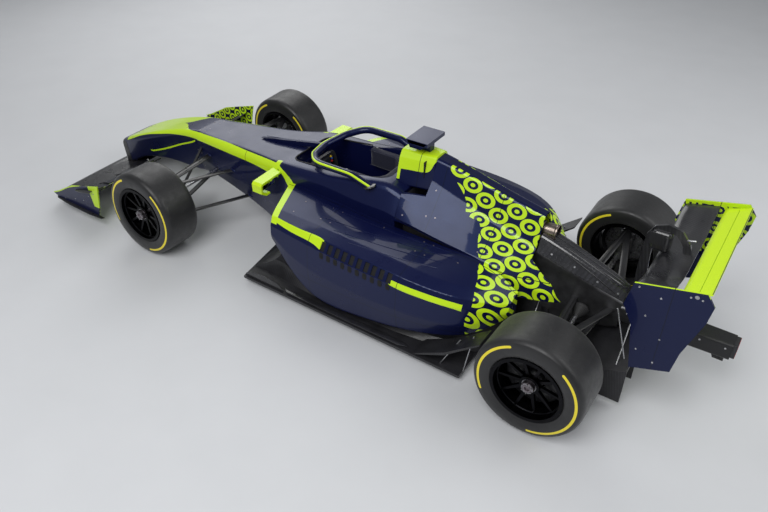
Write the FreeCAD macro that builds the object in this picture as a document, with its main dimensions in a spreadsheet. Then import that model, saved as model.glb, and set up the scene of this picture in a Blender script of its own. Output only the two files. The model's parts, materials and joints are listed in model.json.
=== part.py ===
"""Open wheel racing car, built as separate pieces around a driver's cell.

Every piece is drawn with x forward from the rear axle, y to the car's left and z up from the
ground, in millimetres, and is then moved so that x is zero halfway along the car.
"""
import FreeCAD, Part

import math
import os
import re

import Sketcher
from FreeCAD import Placement, Rotation, Vector

SIZES = {
    # whole car
    "wheelbase": 3135,
    "front_overhang": 1255,
    "rear_overhang": 880,
    "side_plane": 330,
    "rim_height": 850,
    "seam": 0.3,
    "overrun": 40,
    "big": 4000,
    # wheels and tyres
    "tyre_radius": 328,
    "tyre_shoulder": 34,
    "bead_radius": 203,
    "bead_inset": 22,
    "front_tyre_width": 292,
    "rear_tyre_width": 326,
    "front_outer_face": 946,
    "rear_outer_face": 934,
    "front_camber": 2.4,
    "rear_camber": 1.9,
    "rim_wall": 9,
    "rim_well": 7,
    "flange_height": 12,
    "flange_width": 9,
    "spoke_width": 13,
    "spoke_thickness": 20,
    "spoke_root_width": 22,
    "front_spoke_recess": 6,
    "rear_spoke_recess": 26,
    "dish_depth": 18,
    "rim_boss_radius": 58,
    "rim_boss_length": 34,
    "hub_radius": 42,
    "hub_fit": 0.06,
    "spindle_radius": 26,
    "nut_radius": 33,
    "nut_length": 28,
    "brake_disc_radius": 148,
    "brake_disc_thickness": 32,
    "disc_gap": 10,
    # front corner
    "kingpin_inset": 75,
    "upright_width": 60,
    "upright_length": 90,
    "upright_height": 204,
    "ball_stud_length": 20,
    "ball_stud_radius": 9,
    "ball_joint_radius": 18,
    "ball_joint_height": 22,
    "steering_arm_length": 100,
    "steering_arm_thickness": 14,
    "steering_arm_width": 26,
    "steering_arm_rise": 88,
    "tie_rod_radius": 9,
    "tie_rod_clearance": 6,
    "arm_chord": 46,
    "front_arm_chord": 62,
    "arm_thickness": 14,
    "push_rod_radius": 11,
    # driver's cell
    "nose_joint_lead": 120,
    "joint_half_width": 178,
    "joint_waist_half_width": 185,
    "joint_bottom_half_width": 150,
    "joint_top": 658,
    "joint_waist": 450,
    "joint_bottom": 290,
    "cell_edge": 60,
    "cockpit_corner": 90,
    "cell_floor": 30,
    "cell_wall": 28,
    "leg_edge": 40,
    "dash_thickness": 16,
    # cockpit pieces
    "headrest_length": 400,
    "headrest_back": 90,
    "headrest_side": 60,
    "headrest_edge": 8,
    "headrest_height": 150,
    "steering_wheel_half_width": 135,
    "steering_wheel_half_height": 82,
    "steering_wheel_thickness": 34,
    "column_radius": 16,
    "column_tilt": 12,
    "column_overlap": 30,
    # cockpit hoop
    "halo_tube_radius": 25,
    "halo_bend": 150,
    "halo_pylon_foot_length": 90,
    "halo_pylon_width": 26,
    # nose and front wing
    "nose_setback": 100,
    "nose_half_width": 211,
    "nose_height": 658,
    "nose_top_edge": 45,
    "nose_bottom_edge": 30,
    "front_wing_half_span": 884,
    "front_wing_height": 88,
    "front_wing_tilt": 4,
    "front_plane_chord": 290,
    "front_plane_thickness": 26,
    "front_flap_inner_y": 190,
    "front_flap_chord": 190,
    "front_flap_thickness": 16,
    "front_endplate_thickness": 12,
    "front_endplate_height": 300,
    # airbox and engine cover
    "airbox_height": 226,
    "airbox_edge": 30,
    "airbox_foot_edge": 12,
    "airbox_wall": 12,
    "airbox_duct_depth": 190,
    "camera_length": 160,
    "camera_half_width": 108,
    "camera_thickness": 26,
    "camera_stalk_width": 50,
    "camera_stalk_height": 72,
    "cover_wall": 8,
    "spine_edge": 25,
    "cover_edge": 60,
    "cover_foot_edge": 4,
    # sidepods
    "sidepod_sweep": 165,
    "sidepod_half_width": 765,
    "sidepod_height": 652,
    "sidepod_ridge_edge": 60,
    "sidepod_band_edge": 12,
    "sidepod_belly_edge": 90,
    "sidepod_foot_edge": 25,
    "inlet_depth": 380,
    "inlet_wall": 22,
    "louvre_width": 34,
    "louvre_length": 64,
    "louvre_depth": 22,
    "undercut_inset": 14,
    "undercut_scoop_radius": 430,
    "undercut_scoop_lip": 12,
    # floor
    "floor_bottom": 40,
    "floor_thickness": 20,
    "floor_half_width": 798,
    "floor_nose_half_width": 300,
    "floor_waist_half_width": 540,
    "plank_thickness": 10,
    "plank_half_width": 150,
    "shield_thickness": 12,
    "shield_inner_y": 640,
    "shield_outer_y": 790,
    "shield_height": 320,
    "diffuser_rear_x": -405,
    "diffuser_half_width": 450,
    "diffuser_height": 240,
    "diffuser_plate": 10,
    "diffuser_skirt": 45,
    # power unit and back end
    "engine_length": 600,
    "engine_bottom": 70,
    "engine_height": 480,
    "gearbox_front_half_width": 150,
    "gearbox_rear_half_width": 78,
    "gearbox_edge": 30,
    "gearbox_rear_x": -220,
    "crash_half_width": 60,
    "crash_edge": 20,
    "crash_bottom": 312,
    "crash_top": 430,
    "tail_light_length": 24,
    "tail_light_half_width": 45,
    "tail_light_height": 88,
    "jack_pad_x": -600,
    "jack_pad_size": 70,
    "jack_pad_depth": 10,
    "tow_eye_x": -800,
    "tow_eye_radius": 15,
    "tow_eye_thickness": 12,
    "tow_eye_drop": 30,
    "gearbox_cover_half_width": 112,
    "gearbox_cover_height": 100,
    "gearbox_cover_edge": 4,
    "exhaust_radius": 42,
    "exhaust_wall": 4,
    "exhaust_height": 742,
    "exhaust_length": 240,
    # rear corner
    "rear_upright_inset": 90,
    # rear wing
    "rear_wing_half_span": 470,
    "rear_wing_front_x": -326,
    "rear_plane_chord": 205,
    "rear_plane_tilt": 14,
    "rear_plane_dip": 66,
    "rear_plane_thickness": 26,
    "rear_flap_x": -552,
    "rear_flap_height": 946,
    "rear_flap_chord": 150,
    "rear_flap_thickness": 16,
    "rear_flap_tilt": 21,
    "flap_gap": 5,
    "flap_pin_radius": 4,
    "flap_pin_fit": 0.06,
    "flap_pin_reach": 30,
    "rear_endplate_thickness": 12,
    "rear_endplate_length": 390,
    "pylon_thickness": 18,
    "pylon_edge": 26,
    "actuator_length": 112,
    "actuator_half_width": 34,
    "actuator_height": 134,
    # mirrors
    "mirror_depth": 86,
    "mirror_shell": 13,
    "mirror_height": 116,
    "mirror_pod_depth": 48,
    "mirror_pod_height": 56,
}

# Places between the axles, as shares of the wheelbase ahead of the rear axle.
POSITION_SHARES = {
    "cell_rear_x": 0.3987,
    "cockpit_rear_x": 0.4434,
    "cockpit_front_x": 0.7065,
    "steering_wheel_x": 0.6619,
    "halo_foot_x": 0.4657,
    "halo_front_x": 0.6619,
    "halo_pylon_foot_x": 0.8325,
    "airbox_front_x": 0.4306,
    "airbox_rear_x": 0.3509,
    "cover_top_rear_x": 0.1100,
    "cover_rear_x": 0.0319,
    "sidepod_front_x": 0.6826,
    "sidepod_rear_x": 0.1085,
    "louvre_rear_x": 0.3270,
    "louvre_front_x": 0.4920,
    "floor_nose_x": 0.7432,
    "floor_front_x": 0.7193,
    "floor_waist_x": 0.1499,
    "floor_rear_x": 0.0638,
    "plank_front_x": 0.7018,
    "plank_rear_x": 0.0957,
    "shield_front_x": 0.2600,
    "shield_rear_x": 0.1130,
    "gearbox_cover_front_x": 0.1085,
    "mirror_x": 0.7100,
}

# Heights of what stands on the driver's cell, as shares of the height of its rim.
RIM_HEIGHT_SHARES = {
    "halo_foot_height": 0.9553,
    "halo_top": 1.0494,
    "halo_front_height": 0.9906,
    "airbox_base": 0.9553,
    "cover_height": 1.2212,
    "cover_bottom": 0.4706,
    "headrest_bottom": 0.7765,
    "steering_wheel_height": 0.7529,
    "mirror_top": 0.8330,
    "gearbox_top": 0.5059,
}

# Half widths of what stands in or on the driver's cell, as shares of its half width.
CELL_WIDTH_SHARES = {
    "cockpit_half_width": 0.6515,
    "seat_half_width": 0.5606,
    "halo_foot_y": 0.8788,
    "halo_arm_y": 0.9091,
    "airbox_half_width": 0.5,
    "engine_half_width": 0.6818,
    "mirror_outer_y": 1.6364,
}

# Heights in the rear wing, as shares of the height of its flap's front edge.
REAR_WING_HEIGHT_SHARES = {
    "rear_plane_height": 0.9471,
    "rear_endplate_height": 0.6765,
    "rear_endplate_base": 0.3964,
    "pylon_top": 1.0888,
}

# Lengths and heights that follow one other size.
OTHER_SHARES = {
    "front_endplate_length": ("front_overhang", 0.55),
    "inlet_bottom": ("sidepod_height", 0.735),
}

DERIVED = {name: ("wheelbase", share) for name, share in POSITION_SHARES.items()}
DERIVED.update({name: ("rim_height", share) for name, share in RIM_HEIGHT_SHARES.items()})
DERIVED.update({name: ("side_plane", share) for name, share in CELL_WIDTH_SHARES.items()})
DERIVED.update({name: ("rear_flap_height", share) for name, share in REAR_WING_HEIGHT_SHARES.items()})
DERIVED.update(OTHER_SHARES)

# Stations of the driver's cell from its rear face to the nose joint, each with the share of the
# length, then the half width and height shares of the shoulder, the waist and the bottom corner.
CELL_SHARES = (
    (0.000, (0.758, 0.955), (1.040, 0.771), (1.040, 0.060)),
    (0.077, (0.794, 1.000), (1.040, 0.782), (1.000, 0.060)),
    (0.205, (0.879, 0.959), (1.040, 0.788), (0.850, 0.060)),
    (0.385, (0.964, 0.912), (1.030, 0.776), (0.800, 0.060)),
    (0.513, (0.964, 0.885), (0.975, 0.588), (0.680, 0.060)),
    (0.590, (0.864, 0.859), (0.885, 0.530), (0.640, 0.129)),
    (0.692, (0.748, 0.831), (0.776, 0.506), (0.600, 0.224)),
    (0.846, (0.652, 0.801), (0.673, 0.494), (0.530, 0.318)),
)

# Stations of the nose from the joint to its tip: share of the length, then the half width and
# height shares of the shoulder and of the bottom corner.
NOSE_SHARES = (
    (0.125, (0.800, 0.974), (0.690, 0.430)),
    (0.358, (0.863, 0.883), (0.711, 0.425)),
    (0.568, (0.962, 0.771), (0.760, 0.395)),
    (0.704, (1.000, 0.691), (0.806, 0.350)),
    (0.876, (0.948, 0.577), (0.820, 0.215)),
    (1.000, (0.844, 0.486), (0.806, 0.140)),
)

# Stations of the engine cover from its front to its tail: share of the length, then the half
# width and height shares of the spine, flank, shoulder, edge and bottom corner.
COVER_SHARES = (
    (0.000, (0.182, 1.000), (0.364, 0.867), (0.758, 0.780), (1.040, 0.621), (1.040, 0.370)),
    (0.217, (0.152, 0.968), (0.358, 0.829), (0.727, 0.703), (1.040, 0.607), (1.040, 0.370)),
    (0.435, (0.127, 0.910), (0.358, 0.751), (0.697, 0.665), (1.030, 0.582), (1.030, 0.370)),
    (0.652, (0.109, 0.853), (0.364, 0.684), (0.667, 0.617), (0.985, 0.544), (0.985, 0.370)),
    (0.826, (0.097, 0.814), (0.379, 0.617), (0.606, 0.559), (0.864, 0.472), (0.879, 0.370)),
    (1.000, (0.085, 0.771), (0.303, 0.540), (0.455, 0.491), (0.606, 0.434), (0.621, 0.370)),
)

# Rear edge of the engine cover from its top down: places as shares of its top's, and heights as
# shares of the cover's.
COVER_TAIL_SHARES = ((1.0, 1.0), (1.0, 0.59), (0.55, 0.482))

# Stations of a sidepod from its tail to its front: share of the length, inner top height, then
# half width and height shares of the ridge, the band's top and bottom, the belly and the foot.
SIDEPOD_SHARES = (
    (0.000, 0.720, (0.500, 0.700), (0.560, 0.670), (0.590, 0.610), (0.595, 0.560), (0.545, 0.500)),
    (0.078, 0.850, (0.660, 0.790), (0.750, 0.745), (0.790, 0.670), (0.805, 0.530), (0.775, 0.385)),
    (0.155, 0.908, (0.750, 0.845), (0.850, 0.800), (0.890, 0.710), (0.905, 0.500), (0.870, 0.320)),
    (0.228, 0.915, (0.790, 0.870), (0.895, 0.825), (0.935, 0.730), (0.950, 0.500), (0.912, 0.275)),
    (0.367, 0.920, (0.800, 0.895), (0.920, 0.860), (0.970, 0.765), (0.992, 0.500), (0.962, 0.215)),
    (0.534, 0.925, (0.795, 0.922), (0.915, 0.886), (0.976, 0.790), (1.000, 0.500), (0.985, 0.165)),
    (0.755, 0.970, (0.790, 0.942), (0.912, 0.918), (0.968, 0.830), (0.992, 0.560), (0.980, 0.220)),
    (0.867, 0.990, (0.800, 0.956), (0.900, 0.932), (0.955, 0.852), (0.974, 0.680), (0.960, 0.500)),
    (0.922, 0.998, (0.800, 0.960), (0.890, 0.936), (0.945, 0.860), (0.960, 0.770), (0.945, 0.690)),
    (1.020, 0.998, (0.800, 0.960), (0.885, 0.936), (0.940, 0.862), (0.955, 0.775), (0.940, 0.695)),
)

# Section of the undercut under a sidepod's foot: how far out each corner stands, as shares of
# the foot's reach, and how high, as shares of the height from the floor to the foot.
UNDERCUT_SHARES = ((0.90, 0.00), (0.80, 0.30), (0.84, 0.70), (1.00, 1.02))

# Louvres of a sidepod: their count, and the middle of their band at its rear and its front end,
# as half width and height shares of the sidepod, with the band's slope in degrees.
LOUVRE_COUNT = 10
LOUVRE_REAR_SHARES = (0.948, 0.815)
LOUVRE_FRONT_SHARES = (0.944, 0.858)
LOUVRE_SLOPE = 52

# Front wing flaps: shares of the main plane's chord back and of its thickness up, the tilt in
# degrees and the share of the flap's chord.
FRONT_FLAP_SHARES = ((1.03, 1.7, 14, 0.9), (1.60, 3.9, 30, 1.0))

# Spans of the front wing's sections, with the shares of its chord that they stand back and keep.
FRONT_SPAN_SHARES = (
    (-1.0, 0.07, 0.9), (-0.5, 0.02, 1.0), (0.0, 0.0, 1.0), (0.5, 0.02, 1.0), (1.0, 0.07, 0.9),
)

# Spans of the rear main plane's sections, with the share of its dip that each one hangs down.
REAR_SPAN_SHARES = (
    (-1.0, 0.0), (-0.82, 0.22), (-0.55, 0.85), (0.0, 1.0), (0.55, 0.85), (0.82, 0.22), (1.0, 0.0),
)

# Sections of the legs' space from the cockpit to the nose joint: share of the length, then
# shares of the cockpit's half width and of the rim's height at the bottom and the top.
LEG_SHARES = ((0.00, 1.00, 0.106, 0.76), (0.15, 0.90, 0.165, 0.76), (0.40, 0.78, 0.270, 0.74),
              (1.00, 0.60, 0.380, 0.70))

# The dash, as shares of the rim's height at its bottom and its top.
DASH_SHARES = (0.62, 0.80)

# Inner mounts of the suspension from the wheel's centre: shares of the cell's half width
# forward, out from the middle plane, and up.
FRONT_UPPER_SHARES = ((-0.03, 0.45, 0.54), (-0.92, 0.60, 0.44))
FRONT_LOWER_SHARES = ((0.12, 0.42, -0.03), (-1.34, 0.50, -0.16))
PUSH_ROD_SHARES = (0.28, 0.42, 0.72)
PUSH_ROD_FOOT_SHARE = 0.09
REAR_UPPER_SHARES = ((0.20, 0.20, 0.14), (-0.50, 0.20, 0.14))
REAR_LOWER_SHARES = ((0.75, 0.20, -0.32), (-0.30, 0.20, -0.15))

# Grips of the steering wheel: corners of each hole, as shares of its half width and half height.
GRIP_SHARES = ((0.42, 0.5), (0.78, 0.5), (0.78, -0.5), (0.42, -0.5))
GRIP_ROUNDING_SHARE = 0.6

# Shares of the airbox's half width and height at its crown and its flank, of its width at the
# rear, and how much its duct is drawn in at its inner and its outer end.
CROWN_SHARES = (0.50, 1.00)
FLANK_SHARES = (0.68, 0.80)
AIRBOX_REAR_SHARE = 0.72
DUCT_SHARES = (0.8, 1.1)

# Mouth of the sidepod's duct: share of the half width of its outer side, and height shares of
# the sidepod at its inner and outer top corner.
MOUTH_SHARES = (0.90, 0.925, 0.885)

# The hoop's corners beyond its foot, as shares of its bend, and of its arms' half width.
HALO_SHARES = (1.0, 3.0, 0.4, 0.62)
HALO_PYLON_SHARES = (1.6, 0.4)

# Stations of the gearbox casing and of its cover, from front to rear: height shares of the
# power unit's own top, and the shares of the half width.
CASING_SHARES = (1.15, 1.48, 1.075)
CASING_WIDTH_SHARES = (0.62, 0.85)
GEARBOX_COVER_SHARES = ((0.0, 1.00, 1.00), (0.35, 0.94, 1.00), (0.7, 0.80, 0.88), (1.0, 0.62, 0.74))

# Outline of the swan neck: places ahead of the main plane's front edge as shares of its chord,
# and height shares of the neck's top.
NECK_SHARES = (
    (0.444, 0.400), (0.420, 0.583), (0.439, 0.738), (0.420, 0.903), (0.249, 0.971), (-0.093, 1.000),
    (-0.459, 0.985), (-0.751, 0.913), (-0.849, 0.858), (-0.629, 0.842), (-0.556, 0.903), (-0.361, 0.947),
    (-0.093, 0.961), (0.127, 0.937), (0.200, 0.874), (0.176, 0.738), (0.102, 0.583), (-0.020, 0.400),
)

# Top of the actuator's pod in the neck's bend, as a share of the neck's top.
ACTUATOR_TOP_SHARE = 0.958

# Outline of a mirror's shell seen from behind, as shares of its reach out and its height down.
MIRROR_SHARES = ((0.0, 0.0), (0.93, 0.06), (1.0, 0.20), (1.0, 0.72), (0.82, 1.0), (0.66, 1.0))

# Aerofoil outline: shares of the chord and of the thickness, from the leading edge over the top
# to the trailing edge and back underneath.
AEROFOIL_SHARES = (
    (0.00, 0.00), (0.06, 0.42), (0.28, 0.62), (0.62, 0.56), (1.00, 0.50),
    (1.00, 0.38), (0.62, 0.06), (0.28, -0.30), (0.06, -0.26),
)

# Corners of a rear wing endplate, as shares of its length back from the front edge and of its
# height up from its lowest corner.
REAR_ENDPLATE_SHARES = (
    (0.00, 0.88), (0.88, 1.00), (1.00, 0.90), (0.97, 0.74), (0.79, 0.35),
    (0.74, 0.12), (0.21, 0.00), (0.09, 0.46), (-0.07, 0.64),
)

# Corners of a front wing endplate, as shares of its length back and of its height up.
FRONT_ENDPLATE_SHARES = (
    (0.00, 0.10), (0.10, 0.20), (0.44, 0.62), (1.00, 1.00), (0.92, 0.30), (0.86, 0.00), (0.12, 0.00),
)

SEAT_SHARES = (
    (0.00, 0.00), (0.98, 0.00), (1.00, 0.07), (0.66, 0.05), (0.33, 0.16), (0.13, 0.68),
    (0.07, 0.95), (0.00, 1.00),
)

# The mirror's housing, as shares of the shell's reach out.
MIRROR_POD_SHARES = (0.40, 0.90)

# Centre of the flap's pins, as shares of the flap's chord back and of its thickness up.
PIVOT_SHARES = (0.55, 0.33)

SPOKE_COUNT = 10

doc = FreeCAD.newDocument("open_wheel_racing_car")
sheet = doc.addObject("Spreadsheet::Sheet", "Sizes")
CELLS = {name: str(size) for name, size in SIZES.items()}
CELLS.update({name: f"={size} * {share}" for name, (size, share) in DERIVED.items()})
for row, (alias, content) in enumerate(CELLS.items(), start=1):
    sheet.set(f"A{row}", alias)
    sheet.set(f"B{row}", content)
    sheet.setAlias(f"B{row}", alias)
doc.recompute()

PIECES = []


def bound(text):
    """The expression with each size's name pointing at its cell."""
    return re.sub(r"[a-z_]+", lambda m: "Sizes." + m[0] if m[0] in CELLS else m[0], text)


def value(text):
    """The number that an expression of named sizes gives."""
    result = sheet.evalExpression(bound(text))
    return float(getattr(result, "Value", result))


def values(*texts):
    return [value(text) for text in texts]


REAR_AXLE_X = "(rear_overhang - front_overhang - wheelbase) / 2"

# The most of a side's length that the arc at one of its corners may take.
CORNER_REACH_SHARE = 0.46

FULL_TURN = 360
HALF_TURN = 180
MIRROR = Vector(0, 1, 0)


def keep(piece, label):
    """Names a finished piece, which also names its file."""
    piece.Label = label
    PIECES.append(piece)
    return piece


def feature(label, shape):
    """A piece drawn in car coordinates, moved to its place along the car."""
    piece = doc.addObject("Part::Feature", label)
    piece.Shape = shape.removeSplitter()
    piece.Placement = Placement(Vector(value(REAR_AXLE_X), 0, 0), Rotation())
    return keep(piece, label)


def mirrored(shape):
    return shape.mirror(Vector(0, 0, 0), MIRROR)


def both_sides(shape):
    return Part.makeCompound([shape, mirrored(shape)])


def box(x0, x1, y0, y1, z0, z1):
    return Part.makeBox(x1 - x0, y1 - y0, z1 - z0, Vector(x0, y0, z0))


def cylinder(start, end, radius):
    axis = end - start
    return Part.makeCylinder(radius, axis.Length, start, axis)


def corner_arc(before, point, after, radius):
    """Start, middle and end of the arc that rounds a corner."""
    back = (before - point).normalize()
    ahead = (after - point).normalize()
    half = math.acos(max(-1, min(1, back.dot(ahead)))) / 2
    reach = min((before - point).Length, (after - point).Length) * CORNER_REACH_SHARE
    tangent = min(radius / math.tan(half), reach)
    radius = tangent * math.tan(half)
    bisector = (back + ahead).normalize()
    centre = point + bisector * (radius / math.sin(half))
    return point + back * tangent, centre - bisector * radius, point + ahead * tangent


def rounded_wire(points, radii):
    """Closed wire with every corner rounded to its own radius."""
    count = len(points)
    arcs = [corner_arc(points[i - 1], points[i], points[(i + 1) % count], radii[i])
            for i in range(count)]
    edges = []
    for i, (start, middle, end) in enumerate(arcs):
        edges.append(Part.Arc(start, middle, end).toShape())
        edges.append(Part.LineSegment(end, arcs[(i + 1) % count][0]).toShape())
    return Part.Wire(edges)


def rounded_path(points, radius):
    """Open wire through the points, with tangent arcs at its corners."""
    edges = []
    last = points[0]
    for before, point, after in zip(points, points[1:], points[2:]):
        start, middle, end = corner_arc(before, point, after, radius)
        edges.append(Part.LineSegment(last, start).toShape())
        edges.append(Part.Arc(start, middle, end).toShape())
        last = end
    edges.append(Part.LineSegment(last, points[-1]).toShape())
    return Part.Wire(edges)


def section(x, half_points, radii):
    """Symmetrical closed section across the car, from its left half's corners."""
    left = [Vector(x, y, z) for y, z in half_points]
    right = [Vector(x, -y, z) for y, z in reversed(half_points)]
    return rounded_wire(left + right, list(radii) + list(reversed(radii)))


def loft(wires, ruled=False):
    return Part.makeLoft(wires, True, ruled)


def prism_y(points, y0, y1):
    """Solid between two side planes with an outline of x and z."""
    corners = [Vector(x, y0, z) for x, z in points]
    face = Part.Face(Part.makePolygon(corners + corners[:1]))
    return face.extrude(Vector(0, y1 - y0, 0))


def prism_z(points, z0, z1):
    """Solid between two heights with an outline of x and y."""
    corners = [Vector(x, y, z0) for x, y in points]
    face = Part.Face(Part.makePolygon(corners + corners[:1]))
    return face.extrude(Vector(0, 0, z1 - z0))


def origin_plane(body, role):
    return next(plane for plane in body.Origin.OriginFeatures if plane.Role == role)


def outline_sketch(body, name, role, points):
    """Closed outline on one of the body's own planes, every corner bound to the sizes."""
    sketch = body.newObject("Sketcher::SketchObject", name)
    sketch.AttachmentSupport = [(origin_plane(body, role), "")]
    sketch.MapMode = "FlatFace"
    corners = [Vector(value(x), value(y), 0) for x, y in points]
    count = len(corners)
    for i in range(count):
        sketch.addGeometry(Part.LineSegment(corners[i], corners[(i + 1) % count]), False)
    for i in range(count):
        sketch.addConstraint(Sketcher.Constraint("Coincident", i, 2, (i + 1) % count, 1))
    for i, (x, y) in enumerate(points):
        for kind, text, number in (("DistanceX", x, corners[i].x), ("DistanceY", y, corners[i].y)):
            constraint = sketch.addConstraint(Sketcher.Constraint(kind, i, 1, number))
            sketch.setExpression(f"Constraints[{constraint}]", bound(text))
    doc.recompute()
    return sketch


def revolved(label, points):
    """Body of revolution about its own y axis, from corners of radius and distance along it."""
    body = doc.addObject("PartDesign::Body", label)
    sketch = outline_sketch(body, label + "_outline", "XY_Plane", points)
    turn = body.newObject("PartDesign::Revolution", label + "_turned")
    turn.Profile = sketch
    turn.ReferenceAxis = (sketch, ["V_Axis"])
    turn.Angle = FULL_TURN
    sketch.Visibility = False
    doc.recompute()
    return body


def bound_box(label, corner, size):
    """Block whose corner and three sides are bound to the sizes."""
    piece = doc.addObject("Part::Box", label)
    for side, text in zip(("Length", "Width", "Height"), size):
        piece.setExpression(side, bound(text))
    for axis, text in zip(("x", "y", "z"), corner):
        piece.setExpression(f".Placement.Base.{axis}", bound(text))
    doc.recompute()
    return keep(piece, label)


class Corner:
    """Where one wheel stands, which way it leans and how wide its tyre is."""

    def __init__(self, end, side):
        self.name = f"{end}_{side}"
        self.sign = 1 if side == "left" else -1
        self.end = end
        self.width = f"{end}_tyre_width"
        self.camber = value(f"{end}_camber")
        lean = math.radians(self.camber)
        self.x = value("wheelbase") if end == "front" else 0
        self.y = value(f"{end}_outer_face - {end}_tyre_width / 2")
        self.z = max(r * math.cos(lean) - a * math.sin(lean) for r, a in self.tread_corners())

    def tread_corners(self):
        """Radius and offset of the tread's two edges, the outer one first."""
        radius, shoulder, half = values("tyre_radius", "tyre_shoulder", f"{self.width} / 2")
        return (radius, half - shoulder), (radius - shoulder / 2, half), (radius, -half)

    def placement(self):
        turn = Rotation(Vector(1, 0, 0), self.sign * self.camber)
        if self.sign < 0:
            turn = turn * Rotation(Vector(0, 0, 1), HALF_TURN)
        return Placement(Vector(value(REAR_AXLE_X) + self.x, self.sign * self.y, self.z), turn)


CORNERS = [Corner(end, side) for end in ("front", "rear") for side in ("left", "right")]


def make_tyre(corner):
    """Smooth tyre on the rim's two flanges, with a shoulder on its outer side."""
    half = f"{corner.width} / 2"
    outline = [
        ("bead_radius + flange_height", half), ("tyre_radius - tyre_shoulder / 2", half),
        ("tyre_radius", f"{half} - tyre_shoulder"), ("tyre_radius", f"-{half}"),
        ("bead_radius + flange_height", f"-{half}"),
    ]
    body = revolved(f"tyre_{corner.name}", outline)
    body.Placement = corner.placement()
    keep(body, f"tyre_{corner.name}")


def make_rim(corner):
    """Barrel with two flanges, a dished set of spokes and the boss that seats on the hub."""
    half, seat, wall, well = values(f"{corner.width} / 2 - bead_inset", "bead_radius - seam",
                                    "rim_wall", "rim_well")
    flange, width = values("flange_height", "flange_width")
    inner = seat - wall
    profile = [
        (seat, width - half), (seat - well, -half / 2), (seat - well, half / 2), (seat, half - width),
        (seat, half), (seat + flange, half + flange), (seat + flange, half + flange + width),
        (inner, half + flange + width), (inner, half), (inner - well, half / 2),
        (inner - well, -half / 2), (inner, -half), (inner, -half - flange - width),
        (seat + flange, -half - flange - width), (seat + flange, -half - flange), (seat, -half),
    ]
    corners = [Vector(r, a, 0) for r, a in profile]
    ring = Part.Face(Part.makePolygon(corners + corners[:1])).revolve(Vector(), MIRROR, FULL_TURN)
    recess, dish, thick, narrow, broad = values(f"{corner.end}_spoke_recess", "dish_depth",
                                                "spoke_thickness", "spoke_width", "spoke_root_width")
    boss_radius, boss_length, hub = values("rim_boss_radius", "rim_boss_length", "hub_radius + seam")
    outer = half - recess
    rim_end = seat - wall / 2
    root = boss_radius - wall
    spokes = []
    for index in range(SPOKE_COUNT):
        outlines = []
        for r, a, w in ((root, outer - dish, broad / 2), (rim_end, outer, narrow / 2)):
            points = [Vector(r, a, -w), Vector(r, a, w), Vector(r, a - thick, w), Vector(r, a - thick, -w)]
            outlines.append(Part.makePolygon(points + points[:1]))
        spoke = loft(outlines, True)
        spoke.rotate(Vector(), MIRROR, index * FULL_TURN / SPOKE_COUNT)
        spokes.append(spoke)
    boss_start = outer - dish - thick
    boss = Part.makeCylinder(boss_radius, boss_length, Vector(0, boss_start, 0), MIRROR)
    shape = ring.multiFuse(spokes + [boss])
    bore = Part.makeCylinder(hub, boss_length * 3, Vector(0, boss_start - boss_length, 0), MIRROR)
    piece = doc.addObject("Part::Feature", f"rim_{corner.name}")
    piece.Shape = shape.cut(bore).removeSplitter()
    piece.Placement = corner.placement()
    keep(piece, f"rim_{corner.name}")


def hub_span(corner):
    """Where the hub starts beside the upright and where the rim's boss and the nut end."""
    half = f"{corner.width} / 2 - bead_inset"
    inset = "kingpin_inset" if corner.end == "front" else "rear_upright_inset"
    start = f"-{inset} + upright_width / 2 + seam"
    boss = f"{half} - {corner.end}_spoke_recess - dish_depth - spoke_thickness"
    return start, boss


def make_hub(corner):
    """Hub turned with the brake disc, the wheel's seat, a lip behind it and the nut on its end."""
    start, boss = hub_span(corner)
    disc_inner = f"{start} + disc_gap"
    disc_outer = f"{disc_inner} + brake_disc_thickness"
    boss_end = f"{boss} + rim_boss_length"
    bore = "spindle_radius + hub_fit"
    points = [
        (bore, start), ("hub_radius", start), ("hub_radius", disc_inner),
        ("brake_disc_radius", disc_inner), ("brake_disc_radius", disc_outer),
        ("rim_boss_radius", disc_outer), ("rim_boss_radius", f"{boss} - seam"),
        ("hub_radius", f"{boss} - seam"), ("hub_radius", boss_end),
        ("nut_radius", boss_end), ("nut_radius", f"{boss_end} + nut_length"),
        (bore, f"{boss_end} + nut_length"),
    ]
    body = revolved(f"hub_{corner.name}", points)
    body.Placement = corner.placement()
    keep(body, f"hub_{corner.name}")


def corner_point(corner, radial_x, along, radial_z):
    """A point given about a wheel's leaning axis, in car coordinates."""
    point = corner.placement().multVec(Vector(corner.sign * radial_x, along, radial_z))
    return point - Vector(value(REAR_AXLE_X), 0, 0)


def upright_shape(corner):
    """Upright inside the rim with the spindle that the hub turns on."""
    inset = value("kingpin_inset" if corner.end == "front" else "rear_upright_inset")
    width, length, height = values("upright_width", "upright_length", "upright_height")
    y = corner.y - inset
    body = box(corner.x - length / 2, corner.x + length / 2, y - width / 2, y + width / 2,
               corner.z - height / 2, corner.z + height / 2)
    start, boss = hub_span(corner)
    spindle_start = value(start) - width / 2
    spindle_end = value(f"{boss} + rim_boss_length + nut_length / 2")
    left = Corner(corner.end, "left")
    spindle = cylinder(corner_point(left, 0, spindle_start, 0), corner_point(left, 0, spindle_end, 0),
                       value("spindle_radius"))
    swing = Part.makeBox(value("big"), value("big"), value("big"),
                         Vector(-value("big") / 2, value(start) - value("seam"), -value("big") / 2))
    swing.Placement = Placement(left.placement().Base - Vector(value(REAR_AXLE_X), 0, 0),
                                left.placement().Rotation)
    studs = cylinder(Vector(corner.x, y, corner.z - height / 2 - value("ball_stud_length")),
                     Vector(corner.x, y, corner.z + height / 2 + value("ball_stud_length")),
                     value("ball_stud_radius"))
    return body.cut(swing).multiFuse([spindle, studs])


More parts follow.
